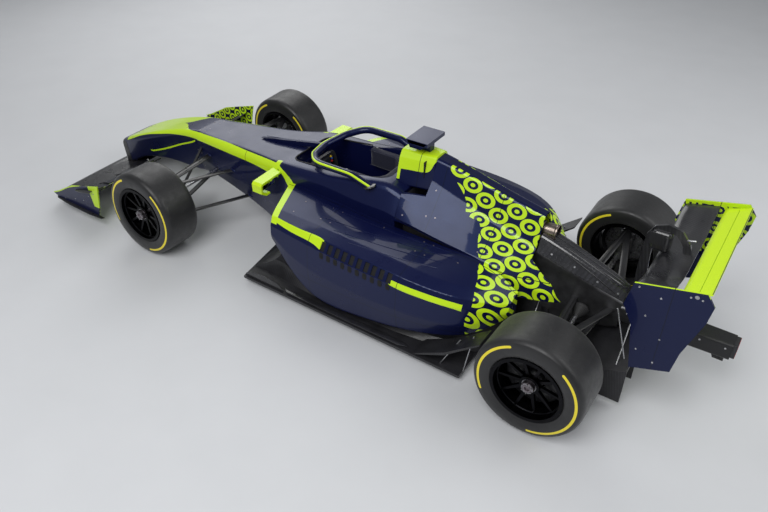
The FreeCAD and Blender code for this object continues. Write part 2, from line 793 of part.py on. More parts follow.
def make_front_upright(corner):
    """Front upright with the steering arm behind the axle."""
    shape = upright_shape(corner)
    kingpin_y = corner.y - value("kingpin_inset")
    length, thick, wide, z = values("steering_arm_length", "steering_arm_thickness",
                                    "steering_arm_width", "tyre_radius + steering_arm_rise")
    arm = box(corner.x - length - wide / 2, corner.x, kingpin_y - wide / 2, kingpin_y + wide / 2,
              z - thick, z)
    shape = shape.fuse(arm)
    feature(f"front_upright_{corner.name[6:]}", shape if corner.sign > 0 else mirrored(shape))


def blade(start, end, chord, thickness):
    """Straight arm with a flat oval section, its long axis lying level."""
    along = (end - start).normalize()
    across = along.cross(Vector(0, 0, 1)).normalize()
    ellipse = Part.Ellipse(start + across * (chord / 2), start + across.cross(along) * (thickness / 2), start)
    face = Part.Face(Part.Wire([ellipse.toShape()]))
    return face.extrude(end - start)


def wishbone(outer, inners, chords, thickness):
    """Two arms from the ball joint's eye to the body, as one solid."""
    radius, height = values("ball_joint_radius", "ball_joint_height")
    eye = Part.makeCylinder(radius, height, outer - Vector(0, 0, height / 2))
    return eye.multiFuse([blade(outer, inner, chord, thickness) for inner, chord in zip(inners, chords)])


def pickups(corner, shares):
    """Inner mounts of one corner's arms on the body."""
    reach = value("side_plane")
    return [Vector(corner.x + x * reach, y * reach, corner.z + z * reach) for x, y, z in shares]


def ball_joints(corner, inset):
    """Upper and lower ball joints of one corner."""
    height, gap, eye = values("upright_height", "ball_stud_length + seam", "ball_joint_height")
    rise = height / 2 + gap + eye / 2
    y = corner.y - inset
    return Vector(corner.x, y, corner.z + rise), Vector(corner.x, y, corner.z - rise)


def make_front_suspension(corner, cell):
    """Upper and lower wishbones and the push rod of one front corner."""
    top, low = ball_joints(corner, value("kingpin_inset"))
    chord, front_chord, thick, rod = values("arm_chord", "front_arm_chord", "arm_thickness",
                                            "push_rod_radius")
    upper = wishbone(top, pickups(corner, FRONT_UPPER_SHARES), (front_chord, chord), thick)
    lower = wishbone(low, pickups(corner, FRONT_LOWER_SHARES), (chord, chord), thick)
    centre = Vector(corner.x, 0, corner.z)
    rod_foot = low + (centre - low) * PUSH_ROD_FOOT_SHARE + Vector(0, 0, thick)
    push = cylinder(rod_foot, pickups(corner, [PUSH_ROD_SHARES])[0], rod)
    return upper.cut(cell), lower.fuse(push).cut(cell)


def cell_sections():
    """Sections of the driver's cell, the last of them shared with the nose."""
    length = value("wheelbase + nose_joint_lead - cell_rear_x")
    half, height, rear, edge = values("side_plane", "rim_height", "cell_rear_x", "cell_edge")
    for share, *corners in CELL_SHARES:
        yield section(rear + share * length, [(y * half, z * height) for y, z in corners], (edge, edge, edge))
    corners = [values("joint_half_width", "joint_top"), values("joint_waist_half_width", "joint_waist"),
               values("joint_bottom_half_width", "joint_bottom")]
    yield section(rear + length, corners, (edge, edge, edge))


def cell_outside():
    half, low, big = values("side_plane", "floor_bottom + floor_thickness", "big")
    body = loft(list(cell_sections()))
    return body.common(box(-big, big, -half, half, low, big))


def make_cell(outside):
    """Driver's cell: a hollow tub with the cockpit open above and the legs' space ahead of it."""
    floor_top, floor, wall = values("floor_bottom + floor_thickness", "cell_floor", "cell_wall")
    rear, front, half, corner = values("cockpit_rear_x", "cockpit_front_x", "cockpit_half_width",
                                       "cockpit_corner")
    joint = value("wheelbase + nose_joint_lead")
    rim = value("rim_height")
    plan = [Vector(rear, half, floor_top + floor), Vector(front, half, floor_top + floor),
            Vector(front, -half, floor_top + floor), Vector(rear, -half, floor_top + floor)]
    well = Part.Face(rounded_wire(plan, [corner] * 4)).extrude(Vector(0, 0, rim * 2))
    legs = []
    edge = value("leg_edge")
    for share, width, low, high in LEG_SHARES:
        x = front - wall + (joint - wall * 3 - front) * share
        legs.append(section(x, [(half * width, rim * high), (half * width, rim * low)], (edge, edge)))
    tunnel = loft(legs, True)
    x0 = front - value("dash_thickness")
    dash_low, dash_high = DASH_SHARES
    dash = box(x0, front, -half - wall / 2, half + wall / 2, rim * dash_low, rim * dash_high)
    column = column_solid(value("column_radius + seam"), value("overrun"))
    shell = outside.cut(well).cut(tunnel).fuse(dash.common(outside))
    rack_hole = rack_rod(value("tie_rod_radius + tie_rod_clearance"))
    return feature("monocoque", shell.cut(column).cut(rack_hole))


def column_solid(radius, beyond):
    """Steering column, from behind the wheel to a little way past the dash."""
    x, z, tilt = values("steering_wheel_x", "steering_wheel_height", "column_tilt")
    length = value("cockpit_front_x - steering_wheel_x + column_overlap") + beyond
    along = Vector(math.cos(math.radians(tilt)), 0, -math.sin(math.radians(tilt)))
    start = Vector(x, 0, z)
    return cylinder(start, start + along * length, radius)


def rack_rod(radius):
    """The steering rack and its track rods, in line across the car behind the front axle."""
    front = Corner("front", "left")
    y = front.y - value("kingpin_inset") + value("steering_arm_width") / 2
    x = front.x - value("steering_arm_length")
    z = value("tyre_radius + steering_arm_rise + tie_rod_radius + seam")
    return cylinder(Vector(x, -y, z), Vector(x, y, z), radius)


def make_nose(wing):
    """Nose from the cell's front to its blunt tip over the front wing."""
    joint, tip = values("wheelbase + nose_joint_lead", "wheelbase + front_overhang - nose_setback")
    half, height, edge, top_edge, bottom_edge = values("nose_half_width", "nose_height", "cell_edge",
                                                       "nose_top_edge", "nose_bottom_edge")
    corners = [values("joint_half_width", "joint_top"), values("joint_bottom_half_width", "joint_bottom")]
    wires = [section(joint, corners, (edge, edge))]
    for share, top, bottom in NOSE_SHARES:
        x = joint + (tip - joint) * share
        wires.append(section(x, [(top[0] * half, top[1] * height), (bottom[0] * half, bottom[1] * height)],
                             (top_edge, bottom_edge)))
    feature("nose_cone", loft(wires).cut(wing))


def aerofoil(x, y, z, chord, thickness, tilt):
    """Closed aerofoil wire in a plane along the car, its tail raised by the tilt."""
    points = []
    for along, up in AEROFOIL_SHARES:
        points.append(Vector(x - along * chord, y, z + up * thickness))
    tail_top, tail_low = points[4], points[5]
    upper = Part.BSplineCurve()
    upper.interpolate(points[5:] + points[:5])
    wire = Part.Wire([upper.toShape(), Part.LineSegment(tail_top, tail_low).toShape()])
    wire.rotate(Vector(x, y, z), Vector(0, 1, 0), tilt)
    return wire


def make_front_wing():
    """Main plane right across, two flaps each side of the nose and an endplate at each tip."""
    front, span, height, tilt = values("wheelbase + front_overhang", "front_wing_half_span",
                                       "front_wing_height", "front_wing_tilt")
    chord, thick = values("front_plane_chord", "front_plane_thickness")
    sections = [aerofoil(front - chord * back, y * span, height, chord * size, thick, tilt)
                for y, back, size in FRONT_SPAN_SHARES]
    plane = loft(sections)
    feature("front_wing_main_plane", plane)
    make_nose(plane)
    inner, flap, flap_thick = values("front_flap_inner_y", "front_flap_chord", "front_flap_thickness")
    flaps = []
    for back, up, flap_tilt, size in FRONT_FLAP_SHARES:
        wires = [aerofoil(front - chord * back, y, height + up * thick, flap * size, flap_thick, flap_tilt)
                 for y in (inner, span)]
        flaps.append(loft(wires, True))
    feature("front_wing_flaps", Part.makeCompound(flaps + [mirrored(flap) for flap in flaps]))
    length, tall, wall = values("front_endplate_length", "front_endplate_height", "front_endplate_thickness")
    start = front - chord * FRONT_SPAN_SHARES[-1][1]
    low = height - thick / 4
    points = [(start - back * length, low + up * tall) for back, up in FRONT_ENDPLATE_SHARES]
    feature("front_wing_endplates", both_sides(prism_y(points, span, span + wall)))


def make_halo():
    """Hoop over the cockpit on two rear feet and a blade in front."""
    radius, foot_x, foot_y, foot_z = values("halo_tube_radius", "halo_foot_x", "halo_foot_y",
                                            "halo_foot_height")
    arm_y, top, front_x, front_z, bend = values("halo_arm_y", "halo_top", "halo_front_x",
                                                "halo_front_height", "halo_bend")
    rise, arm, shoulder, narrow = HALO_SHARES
    left = [Vector(foot_x, foot_y, foot_z), Vector(foot_x + bend * rise, arm_y, top - radius),
            Vector(foot_x + bend * arm, arm_y, top - radius),
            Vector(front_x - bend * shoulder, arm_y * narrow, (top + front_z) / 2 - radius)]
    tip = Vector(front_x, 0, front_z - radius)
    right = [Vector(p.x, -p.y, p.z) for p in reversed(left)]
    path = rounded_path(left + [tip] + right, bend)
    direction = (left[1] - left[0]).normalize()
    ring = Part.Wire([Part.Circle(left[0], direction, radius).toShape()])
    hoop = path.makePipeShell([ring], True, True)
    pylon_x, pylon_length, width = values("halo_pylon_foot_x", "halo_pylon_foot_length", "halo_pylon_width")
    base = cell_top(pylon_x)
    low, high = HALO_PYLON_SHARES
    outline = [(front_x - radius, front_z - radius * low), (front_x + radius * high, front_z - radius * high),
               (pylon_x + pylon_length, base), (pylon_x - pylon_length, base)]
    pylon = prism_y(outline, -width / 2, width / 2)
    return hoop.fuse(pylon)


def cell_top(x):
    """Height of the cell's flat top at a distance along the car, between its stations."""
    rear, joint, rim = values("cell_rear_x", "wheelbase + nose_joint_lead", "rim_height")
    stations = [(rear + share * (joint - rear), rim * top[1]) for share, top, *_ in CELL_SHARES]
    stations.append((joint, value("joint_top")))
    for (x0, z0), (x1, z1) in zip(stations, stations[1:]):
        if x0 <= x <= x1:
            return z0 + (z1 - z0) * (x - x0) / (x1 - x0)
    return stations[-1][1]


def make_cockpit_pieces():
    """Seat shell, headrest padding and the steering wheel on its column."""
    rear, half, front = values("cockpit_rear_x", "seat_half_width", "cockpit_front_x")
    floor_top = value("floor_bottom + floor_thickness + cell_floor + seam")
    length, height = front - rear, value("headrest_bottom") - floor_top
    corner, edge = values("cockpit_corner", "headrest_edge")
    seat_rear = rear + corner / 3
    points = [(seat_rear + x * (length - corner), floor_top + z * (height - corner)) for x, z in SEAT_SHARES]
    feature("seat", prism_y(points, -half, half))
    reach, back, side, low, tall = values("headrest_length", "headrest_back", "headrest_side",
                                          "headrest_bottom", "headrest_height")
    seam, width = values("seam", "cockpit_half_width")
    plan = [Vector(rear + seam, width - seam, low), Vector(rear + reach, width - seam, low),
            Vector(rear + reach, width - side, low), Vector(rear + back, width - side, low),
            Vector(rear + back, side - width, low), Vector(rear + reach, side - width, low),
            Vector(rear + reach, seam - width, low), Vector(rear + seam, seam - width, low)]
    radii = [corner - seam, edge, edge, side, side, edge, edge, corner - seam]
    pad = Part.Face(rounded_wire(plan, radii)).extrude(Vector(0, 0, tall))
    feature("headrest", pad)
    make_steering_wheel()


def make_steering_wheel():
    """Steering wheel with a grip hole each side, on its column."""
    x, z, tilt = values("steering_wheel_x", "steering_wheel_height", "column_tilt")
    half, tall, thick = values("steering_wheel_half_width", "steering_wheel_half_height",
                               "steering_wheel_thickness")
    corners = [Vector(x, half, z + tall), Vector(x, -half, z + tall), Vector(x, -half, z - tall),
               Vector(x, half, z - tall)]
    rounding = tall * GRIP_ROUNDING_SHARE
    plate = Part.Face(rounded_wire(corners, [rounding] * 4)).extrude(Vector(thick, 0, 0))
    hole = [Vector(x - thick, y * half, z + up * tall) for y, up in GRIP_SHARES]
    slot = Part.Face(rounded_wire(hole, [thick / 3] * 4)).extrude(Vector(thick * 3, 0, 0))
    plate = plate.cut(slot).cut(mirrored(slot))
    plate.rotate(Vector(x, 0, z), Vector(0, 1, 0), tilt)
    feature("steering_wheel", plate.fuse(column_solid(value("column_radius"), 0)))


def make_airbox(cell):
    """Air intake over the headrest, open in front, with the camera pod on top."""
    front, rear, base, half, tall, wall = values("airbox_front_x", "airbox_rear_x", "airbox_base",
                                                 "airbox_half_width", "airbox_height", "airbox_wall")
    depth, over, edge, foot = values("airbox_duct_depth", "overrun", "airbox_edge", "airbox_foot_edge")
    narrow, wide = DUCT_SHARES

    def outline(x, shrink, squeeze):
        corners = [(half * CROWN_SHARES[0] * squeeze - shrink, base + tall * CROWN_SHARES[1] - shrink),
                   (half * FLANK_SHARES[0] * squeeze - shrink, base + tall * FLANK_SHARES[1]),
                   (half * squeeze - shrink, base + shrink)]
        return section(x, corners, (edge, edge, foot))

    outside = loft([outline(rear, 0, AIRBOX_REAR_SHARE), outline(front, 0, 1)], True)
    duct = loft([outline(front - depth, wall, narrow), outline(front + over, wall, wide)], True)
    shell = outside.cut(duct)
    feature("airbox", shell.cut(cell))
    length, width, thick, stalk, stalk_height = values("camera_length", "camera_half_width",
                                                       "camera_thickness", "camera_stalk_width",
                                                       "camera_stalk_height")
    top = base + tall
    middle = (front + rear) / 2
    pod = box(middle - length / 2, middle + length / 2, -width, width, top + stalk_height,
              top + stalk_height + thick)
    neck = box(middle - length / 3, middle + length / 3, -stalk / 2, stalk / 2, top, top + stalk_height)
    feature("camera_pod", pod.fuse(neck))


def cover_sections(wall):
    """Sections of the engine cover, drawn in by a wall thickness for its inside."""
    front, rear = values("cell_rear_x", "cover_rear_x")
    half, height, spine, edge, foot = values("side_plane", "cover_height", "spine_edge", "cover_edge",
                                             "cover_foot_edge")
    for share, *corners in COVER_SHARES:
        x = front + (rear - front) * share
        if wall and share == 0:
            x += wall * 2
        if wall and share == 1:
            x -= wall * 2
        points = [(max(y * half - wall, wall / 2), z * height - wall) for y, z in corners[:-1]]
        low_y, low_z = corners[-1]
        points.append((low_y * half - wall, low_z * height - wall * 2))
        yield section(x, points, (spine, edge, edge, edge / 2, foot))


def make_engine_cover(hump):
    """Hollow cover behind the airbox, open at its slanted tail around the gearbox's own cover."""
    front, air_rear, air_base, half = values("cell_rear_x", "airbox_rear_x", "airbox_base", "side_plane")
    low, big, wall = values("cover_bottom", "big", "cover_wall")
    outside = loft(list(cover_sections(0)))
    inside = loft(list(cover_sections(wall)))
    shell = outside.cut(inside)
    shell = shell.common(box(-big, front, -half, half, low, big))
    shell = shell.cut(box(air_rear, big, -big, big, air_base, big))
    top_x, rear, height = values("cover_top_rear_x", "cover_rear_x", "cover_height")
    edge = [(top_x * along, height * up) for along, up in COVER_TAIL_SHARES]
    tail = prism_y(edge + [(rear + wall, low), (-big, low), (-big, height)], -big, big)
    feature("engine_cover", shell.cut(tail).cut(hump))


def sidepod_sections():
    """Sections of the left sidepod, from its tail to its front."""
    rear, front, half, height, inner = values("sidepod_rear_x", "sidepod_front_x", "sidepod_half_width",
                                              "sidepod_height", "side_plane - overrun")
    ridge, band, belly, foot = values("sidepod_ridge_edge", "sidepod_band_edge", "sidepod_belly_edge",
                                      "sidepod_foot_edge")
    for share, top, *corners in SIDEPOD_SHARES:
        x = rear + (front - rear) * share
        points = [Vector(x, inner, height * top)]
        points += [Vector(x, y * half, z * height) for y, z in corners]
        points.append(Vector(x, inner, corners[-1][1] * height))
        yield rounded_wire(points, (foot, ridge, band, band, belly, foot, foot))


def sidepod_front():
    """Room ahead of the sidepod's swept front."""
    front, sweep, inner, half, big = values("sidepod_front_x", "sidepod_sweep", "side_plane",
                                            "sidepod_half_width", "big")
    return prism_z([(front, inner), (front - sweep, half), (front - sweep, big), (big, big), (big, 0),
                    (front, 0)], -big, big)


def louvre_slots():
    """Slots of the louvred band along the sidepod's crest."""
    rear, front, width, length, depth = values("louvre_rear_x", "louvre_front_x", "louvre_width",
                                               "louvre_length", "louvre_depth")
    half, height = values("sidepod_half_width", "sidepod_height")
    slots = []
    for index in range(LOUVRE_COUNT):
        share = index / (LOUVRE_COUNT - 1)
        y, z = [a + (b - a) * share for a, b in zip(LOUVRE_REAR_SHARES, LOUVRE_FRONT_SHARES)]
        slot = Part.makeBox(width, length, depth * 2, Vector(-width / 2, -length / 2, -depth))
        slot.rotate(Vector(), Vector(1, 0, 0), -LOUVRE_SLOPE)
        slot.translate(Vector(rear + (front - rear) * share, y * half, z * height))
        slots.append(slot)
    return slots


def sidepod_left():
    """Left sidepod with its swept front, the mouth of its cooling duct and its louvres."""
    front, sweep, half, height, inner, big = values("sidepod_front_x", "sidepod_sweep", "sidepod_half_width",
                                                    "sidepod_height", "side_plane", "big")
    body = loft(list(sidepod_sections()))
    body = body.common(box(-big, big, inner, big, 0, big)).cut(sidepod_front())
    depth, bottom, wall = values("inlet_depth", "inlet_bottom", "inlet_wall")
    side, high_inner, high_outer = MOUTH_SHARES
    x = front - depth - sweep
    mouth = [Vector(x, inner + wall, height * high_inner), Vector(x, half * side, height * high_outer),
             Vector(x, half * side, bottom), Vector(x, inner + wall, bottom)]
    duct = Part.Face(rounded_wire(mouth, [wall] * 4)).extrude(Vector(depth * 2, 0, 0))
    return body.cut(duct).cut(Part.makeCompound(louvre_slots()))


def undercut_left(pod):
    """Undercut between the sidepod and the floor, scooped out at its front."""
    rear, front, half, height, inner = values("sidepod_rear_x", "sidepod_front_x", "sidepod_half_width",
                                              "sidepod_height", "side_plane")
    low, inset, radius, lip, big = values("floor_bottom + floor_thickness", "undercut_inset",
                                          "undercut_scoop_radius", "undercut_scoop_lip", "big")
    wires = []
    for share, _, *corners in SIDEPOD_SHARES:
        x = rear + (front - rear) * share
        foot_y, foot_z = corners[-1]
        reach, rise = foot_y * half - inset - inner, foot_z * height - low
        points = [Vector(x, inner, low + rise * UNDERCUT_SHARES[-1][1]), Vector(x, inner, low)]
        points += [Vector(x, inner + reach * out, low + rise * up) for out, up in UNDERCUT_SHARES]
        wires.append(Part.makePolygon(points + points[:1]))
    last_x = value("floor_front_x")
    ahead = [Vector(last_x, p.Point.y, p.Point.z) for p in wires[-1].OrderedVertexes]
    wires.append(Part.makePolygon(ahead + ahead[:1]))
    body = loft(wires, True).cut(pod)
    axis_x, axis_z = last_x + radius / 4, low + lip + radius
    scoop = cylinder(Vector(axis_x, 0, axis_z), Vector(axis_x, big, axis_z), radius)
    body = body.cut(scoop)
    keeps = [solid for solid in body.Solids if solid.BoundBox.ZMin < low + lip]
    return max(keeps, key=lambda solid: solid.Volume)


def make_floor(pod):
    """Floor with the undercuts, the shields ahead of the rear tyres, the plank and the diffuser."""
    low, thick, half = values("floor_bottom", "floor_thickness", "floor_half_width")
    front, nose_x, nose_y = values("floor_front_x", "floor_nose_x", "floor_nose_half_width")
    waist_x, waist_y, rear = values("floor_waist_x", "floor_waist_half_width", "floor_rear_x")
    left = [(nose_x, nose_y), (front, half), (waist_x, half), (waist_x, waist_y), (rear, waist_y)]
    right = [(x, -y) for x, y in reversed(left)]
    feature("floor", prism_z(left + right, low, low + thick))
    under = undercut_left(pod)
    feature("undercuts", both_sides(under))
    wall, near, far, tall, start, end = values("shield_thickness", "shield_inner_y", "shield_outer_y",
                                               "shield_height", "shield_front_x", "shield_rear_x")
    base = low + thick
    middle = (start + end) / 2
    outline = [(start, base), (start - wall * 2, base), (middle, base + tall / 3), (end, base + tall - wall),
               (end, base + tall), (middle, base + tall / 3 + wall * 2)]
    feature("tyre_shields", both_sides(prism_y(outline, near, far).cut(pod).cut(under)))
    bound_box("plank", (f"{REAR_AXLE_X} + plank_rear_x", "-plank_half_width",
                        "floor_bottom - plank_thickness"),
              ("plank_front_x - plank_rear_x", "plank_half_width * 2", "plank_thickness"))
    end, span, rise, plate, skirt = values("diffuser_rear_x", "diffuser_half_width", "diffuser_height",
                                           "diffuser_plate", "diffuser_skirt")
    roof_points = [(rear, low + thick), (end, low + thick + rise), (end, low + thick + rise - plate),
                   (rear, low + thick - plate)]
    roof = prism_y(roof_points, -span, span)
    side_points = [(rear, low), (rear, low + thick), (end, low + thick + rise), (end, skirt)]
    plates = [prism_y(side_points, y, y + plate) for y in (-span, -span / 2, span / 2 - plate, span - plate)]
    feature("diffuser", roof.multiFuse(plates))


def make_engine():
    """Engine block, gearbox with the crash structure behind it, tail light and exhaust."""
    bound_box("engine", (f"{REAR_AXLE_X} + cell_rear_x - engine_length", "-engine_half_width",
                         "engine_bottom"),
              ("engine_length", "engine_half_width * 2", "engine_height"))
    front, low, tall = values("cell_rear_x - engine_length", "engine_bottom", "engine_height")
    front_y, rear_y, top, end, edge = values("gearbox_front_half_width", "gearbox_rear_half_width",
                                             "gearbox_top", "gearbox_rear_x", "gearbox_edge")
    crash_y, crash_low, crash_top, crash_edge = values("crash_half_width", "crash_bottom", "crash_top",
                                                       "crash_edge")
    tail = value("-rear_overhang + tail_light_length")
    floor_rear, slope = values("floor_rear_x", "diffuser_height / (floor_rear_x - diffuser_rear_x)")
    roof = value("floor_bottom + floor_thickness * 2")
    low_rear = roof - (end - floor_rear) * slope
    hump_x = value("gearbox_cover_front_x")
    at_engine, at_hump, at_end = [top * share for share in CASING_SHARES]
    narrow, middle = CASING_WIDTH_SHARES
    casing = loft([section(front, [(front_y, at_engine), (front_y, low + edge)], (edge, edge)),
                   section(hump_x, [(front_y * narrow, at_hump), (front_y * middle, roof)], (edge, edge)),
                   section(end, [(rear_y * middle, at_end), (rear_y, low_rear)], (edge, edge))], True)
    edges = (crash_edge, crash_edge)
    crash = loft([section(end, [(rear_y, crash_top), (rear_y, crash_low)], edges),
                  section(tail, [(crash_y, crash_top), (crash_y, crash_low)], edges)], True)
    pad_x, pad, pad_depth = values("jack_pad_x", "jack_pad_size / 2", "jack_pad_depth")
    jack = box(pad_x - pad, pad_x + pad, -pad, pad, crash_low - pad_depth, crash_low + pad_depth)
    eye_x, eye_radius, eye_half, drop = values("tow_eye_x", "tow_eye_radius",
                                               "tow_eye_thickness / 2", "tow_eye_drop")
    eye = prism_y([(eye_x + drop * 2, crash_low + crash_edge), (eye_x + drop, crash_low - drop * 2),
                   (eye_x - drop, crash_low - drop * 2), (eye_x - drop, crash_low + crash_edge)],
                  -eye_half, eye_half)
    hole = cylinder(Vector(eye_x, -pad, crash_low - drop), Vector(eye_x, pad, crash_low - drop), eye_radius)
    casing = casing.multiFuse([crash, jack, eye.cut(hole)])
    bound_box("rear_light", (f"{REAR_AXLE_X} - rear_overhang", "-tail_light_half_width",
                             "crash_bottom + crash_edge"),
              ("tail_light_length", "tail_light_half_width * 2", "tail_light_height"))
    radius, wall, z, pipe = values("exhaust_radius", "exhaust_wall", "exhaust_height",
                                   "exhaust_length")
    start = value("cover_top_rear_x - exhaust_radius") + pipe
    tube = cylinder(Vector(start - pipe, 0, z), Vector(start, 0, z), radius)
    riser = cylinder(Vector(start + radius * 4, 0, low + tall), Vector(start, 0, z), radius)
    bore = cylinder(Vector(start - pipe - wall, 0, z), Vector(start, 0, z), radius - wall)
    big = value("big")
    low_box = box(-big, big, -big, big, -big, low + tall)
    pipes = tube.fuse(riser)
    feature("exhaust", pipes.cut(bore).cut(low_box))
    casing = casing.cut(pipes)
    feature("gearbox", casing)
    cover_y, cover_tall, foot = values("gearbox_cover_half_width", "gearbox_cover_height",
                                       "gearbox_cover_edge")
    wires = []
    for share, width, height in GEARBOX_COVER_SHARES:
        x = hump_x + (end - hump_x) * share
        base = at_hump + (at_end - at_hump) * share - foot
        wires.append(section(x, [(cover_y * width / 2, base + cover_tall * height), (cover_y * width, base)],
                             (cover_tall / 3, foot)))
    hump = loft(wires).cut(casing).cut(pipes)
    feature("gearbox_cover", hump)
    return casing, hump


def make_rear_suspension():
    """Rear uprights, wishbones and drive shafts on both sides of the gearbox."""
    corner = Corner("rear", "left")
    shape = upright_shape(corner)
    feature("rear_uprights", both_sides(shape))
    top, low = ball_joints(corner, value("rear_upright_inset"))
    chord, thick = values("arm_chord", "arm_thickness")
    upper = wishbone(top, pickups(corner, REAR_UPPER_SHARES), (chord, chord), thick)
    lower = wishbone(low, pickups(corner, REAR_LOWER_SHARES), (chord, chord), thick)
    return upper, lower


def make_rear_wing(body):
    """Main plane, moving flap, endplates and the swan neck that carries them."""
    span, x, chord, z, thick, tilt, dip = values("rear_wing_half_span", "rear_wing_front_x",
                                                 "rear_plane_chord", "rear_plane_height",
                                                 "rear_plane_thickness", "rear_plane_tilt",
                                                 "rear_plane_dip")
    plane = loft([aerofoil(x, y * span, z - dip * down, chord, thick, tilt)
                  for y, down in REAR_SPAN_SHARES])
    feature("rear_wing_main_plane", plane)
    flap_x, flap_z, flap_chord, flap_thick, tilt, gap = values("rear_flap_x", "rear_flap_height",
                                                               "rear_flap_chord", "rear_flap_thickness",
                                                               "rear_flap_tilt", "flap_gap")
    pin, fit, wall, reach = values("flap_pin_radius", "flap_pin_fit", "rear_endplate_thickness",
                                   "flap_pin_reach")
    pivot = flap_pivot()
    flap = loft([aerofoil(flap_x, y, flap_z, flap_chord, flap_thick, tilt)
                 for y in (gap - span, span - gap)], True)
    hole = cylinder(Vector(pivot.x, -span, pivot.z), Vector(pivot.x, span, pivot.z), pin + fit)
    feature("rear_wing_flap", flap.cut(hole))
    length, tall, base = values("rear_endplate_length", "rear_endplate_height", "rear_endplate_base")
    points = [(x - back * length, base + up * tall) for back, up in REAR_ENDPLATE_SHARES]
    plate = prism_y(points, span, span + wall)
    stub = cylinder(Vector(pivot.x, span - reach, pivot.z), Vector(pivot.x, span + wall / 2, pivot.z), pin)
    feature("rear_wing_endplates", both_sides(plate.fuse(stub)))
    make_swan_neck(plane, body)


def make_swan_neck(plane, body):
    """Neck from the gearbox over the main plane's front edge, with the flap's actuator in its bend."""
    x, top, width, edge, reach = values("rear_wing_front_x", "pylon_top", "pylon_thickness", "pylon_edge",
                                        "rear_plane_chord")
    outline = [Vector(x + ahead * reach, -width / 2, up * top) for ahead, up in NECK_SHARES]
    neck = Part.Face(rounded_wire(outline, [edge] * len(outline))).extrude(Vector(0, width, 0))
    length, half, tall = values("actuator_length", "actuator_half_width", "actuator_height")
    pod_top = top * ACTUATOR_TOP_SHARE
    pod = box(x - length / 2, x + length / 2, -half, half, pod_top - tall, pod_top)
    pod = pod.makeFillet(edge, pod.Edges)
    feature("rear_wing_pylon", neck.fuse(pod).cut(plane).cut(body))


def flap_pivot():
    """Centre of the flap's pins, in the thick part of the flap behind its middle."""
    x, z, chord, thick, tilt = values("rear_flap_x", "rear_flap_height", "rear_flap_chord",
                                      "rear_flap_thickness", "rear_flap_tilt")
    back, up = PIVOT_SHARES
    return Vector(x, 0, z) + Rotation(Vector(0, 1, 0), tilt).multVec(Vector(-back * chord, 0, up * thick))


def make_mirrors():
    """Left mirror: a curved shell that hangs out from the cell and carries the glass's housing."""
    x, depth, shell, tall, top, outer, inner = values("mirror_x", "mirror_depth", "mirror_shell",
                                                      "mirror_height", "mirror_top",
                                                      "mirror_outer_y", "side_plane - overrun")
    outline = [Vector(x, inner + (outer - inner) * out, top - tall * down) for out, down in MIRROR_SHARES]
    drawn_in = [Vector(x, inner + (outer - inner) * out - (shell if out > MIRROR_SHARES[-1][0] else 0),
                       top - shell - (tall - shell * 2) * down) for out, down in reversed(MIRROR_SHARES)]
    blade = Part.Face(Part.makePolygon(outline + drawn_in + outline[:1])).extrude(Vector(depth, 0, 0))
    pod_depth, pod_tall = values("mirror_pod_depth", "mirror_pod_height")
    near, far = [inner + (outer - inner) * share for share in MIRROR_POD_SHARES]
    pod = box(x + shell, x + shell + pod_depth, near, far, top - shell - pod_tall, top - shell / 2)
    return blade.fuse(pod)


def check(piece):
    """Stops the build on a piece that failed, is empty or isn't sound."""
    for state in ("Invalid", "Error"):
        if state in piece.State:
            raise RuntimeError(f"{piece.Label} is {state}")
    if piece.Shape.isNull() or not piece.Shape.isValid():
        raise RuntimeError(f"{piece.Label} has no sound shape")


def main():
    for corner in CORNERS:
        make_tyre(corner)
        make_rim(corner)
        make_hub(corner)
    outside = cell_outside()
    make_cell(outside)
    front_left = CORNERS[0]
    for corner in CORNERS[:2]:
        make_front_upright(corner)
    upper, lower = make_front_suspension(front_left, outside)
    nose_room = box(value("wheelbase + nose_joint_lead"), value("big"), -value("big"), value("big"),
                    -value("big"), value("big"))
    feature("front_upper_wishbones", both_sides(upper.cut(nose_room)))
    feature("front_lower_wishbones", both_sides(lower.cut(nose_room)))
    feature("steering_rack", rack_rod(value("tie_rod_radius")))
    make_front_wing()
    feature("halo", make_halo().cut(outside))
    make_cockpit_pieces()
    make_airbox(outside)
    pod = sidepod_left()
    feature("sidepod_left", pod)
    feature("sidepod_right", mirrored(pod))
    make_floor(pod)
    gearbox, hump = make_engine()
    make_engine_cover(hump)
    upper, lower = make_rear_suspension()
    feature("rear_upper_wishbones", both_sides(upper.cut(gearbox)))
    feature("rear_lower_wishbones", both_sides(lower.cut(gearbox)))
    make_rear_wing(gearbox)
    feature("mirrors", both_sides(make_mirrors().cut(outside)))
    doc.recompute()
    os.makedirs("parts", exist_ok=True)
    for piece in doc.Objects:
        if hasattr(piece, "Shape"):
            check(piece)
    for piece in PIECES:
        piece.Shape.exportStep(f"parts/{piece.Label}.step")
        print(piece.Label, len(piece.Shape.Solids), round(piece.Shape.Volume / 1e6, 3))


main()
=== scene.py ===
"""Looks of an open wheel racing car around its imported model: paint, carbon, rubber, metal and trim."""

import json
import math

import bpy
from mathutils import Matrix, Vector


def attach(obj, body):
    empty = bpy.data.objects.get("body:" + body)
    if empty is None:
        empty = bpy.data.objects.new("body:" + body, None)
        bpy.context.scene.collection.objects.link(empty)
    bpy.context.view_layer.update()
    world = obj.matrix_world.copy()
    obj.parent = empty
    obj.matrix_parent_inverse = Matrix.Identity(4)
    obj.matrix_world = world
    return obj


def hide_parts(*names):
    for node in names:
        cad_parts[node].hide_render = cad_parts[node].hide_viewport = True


bl_info = {
    "name": "Open wheel racing car",
    "version": (1, 0, 0),
    "blender": (4, 5, 0),
    "location": "View3D > Sidebar > Racing car",
    "description": "Dresses the packed model of an open wheel racing car",
    "category": "Object",
}

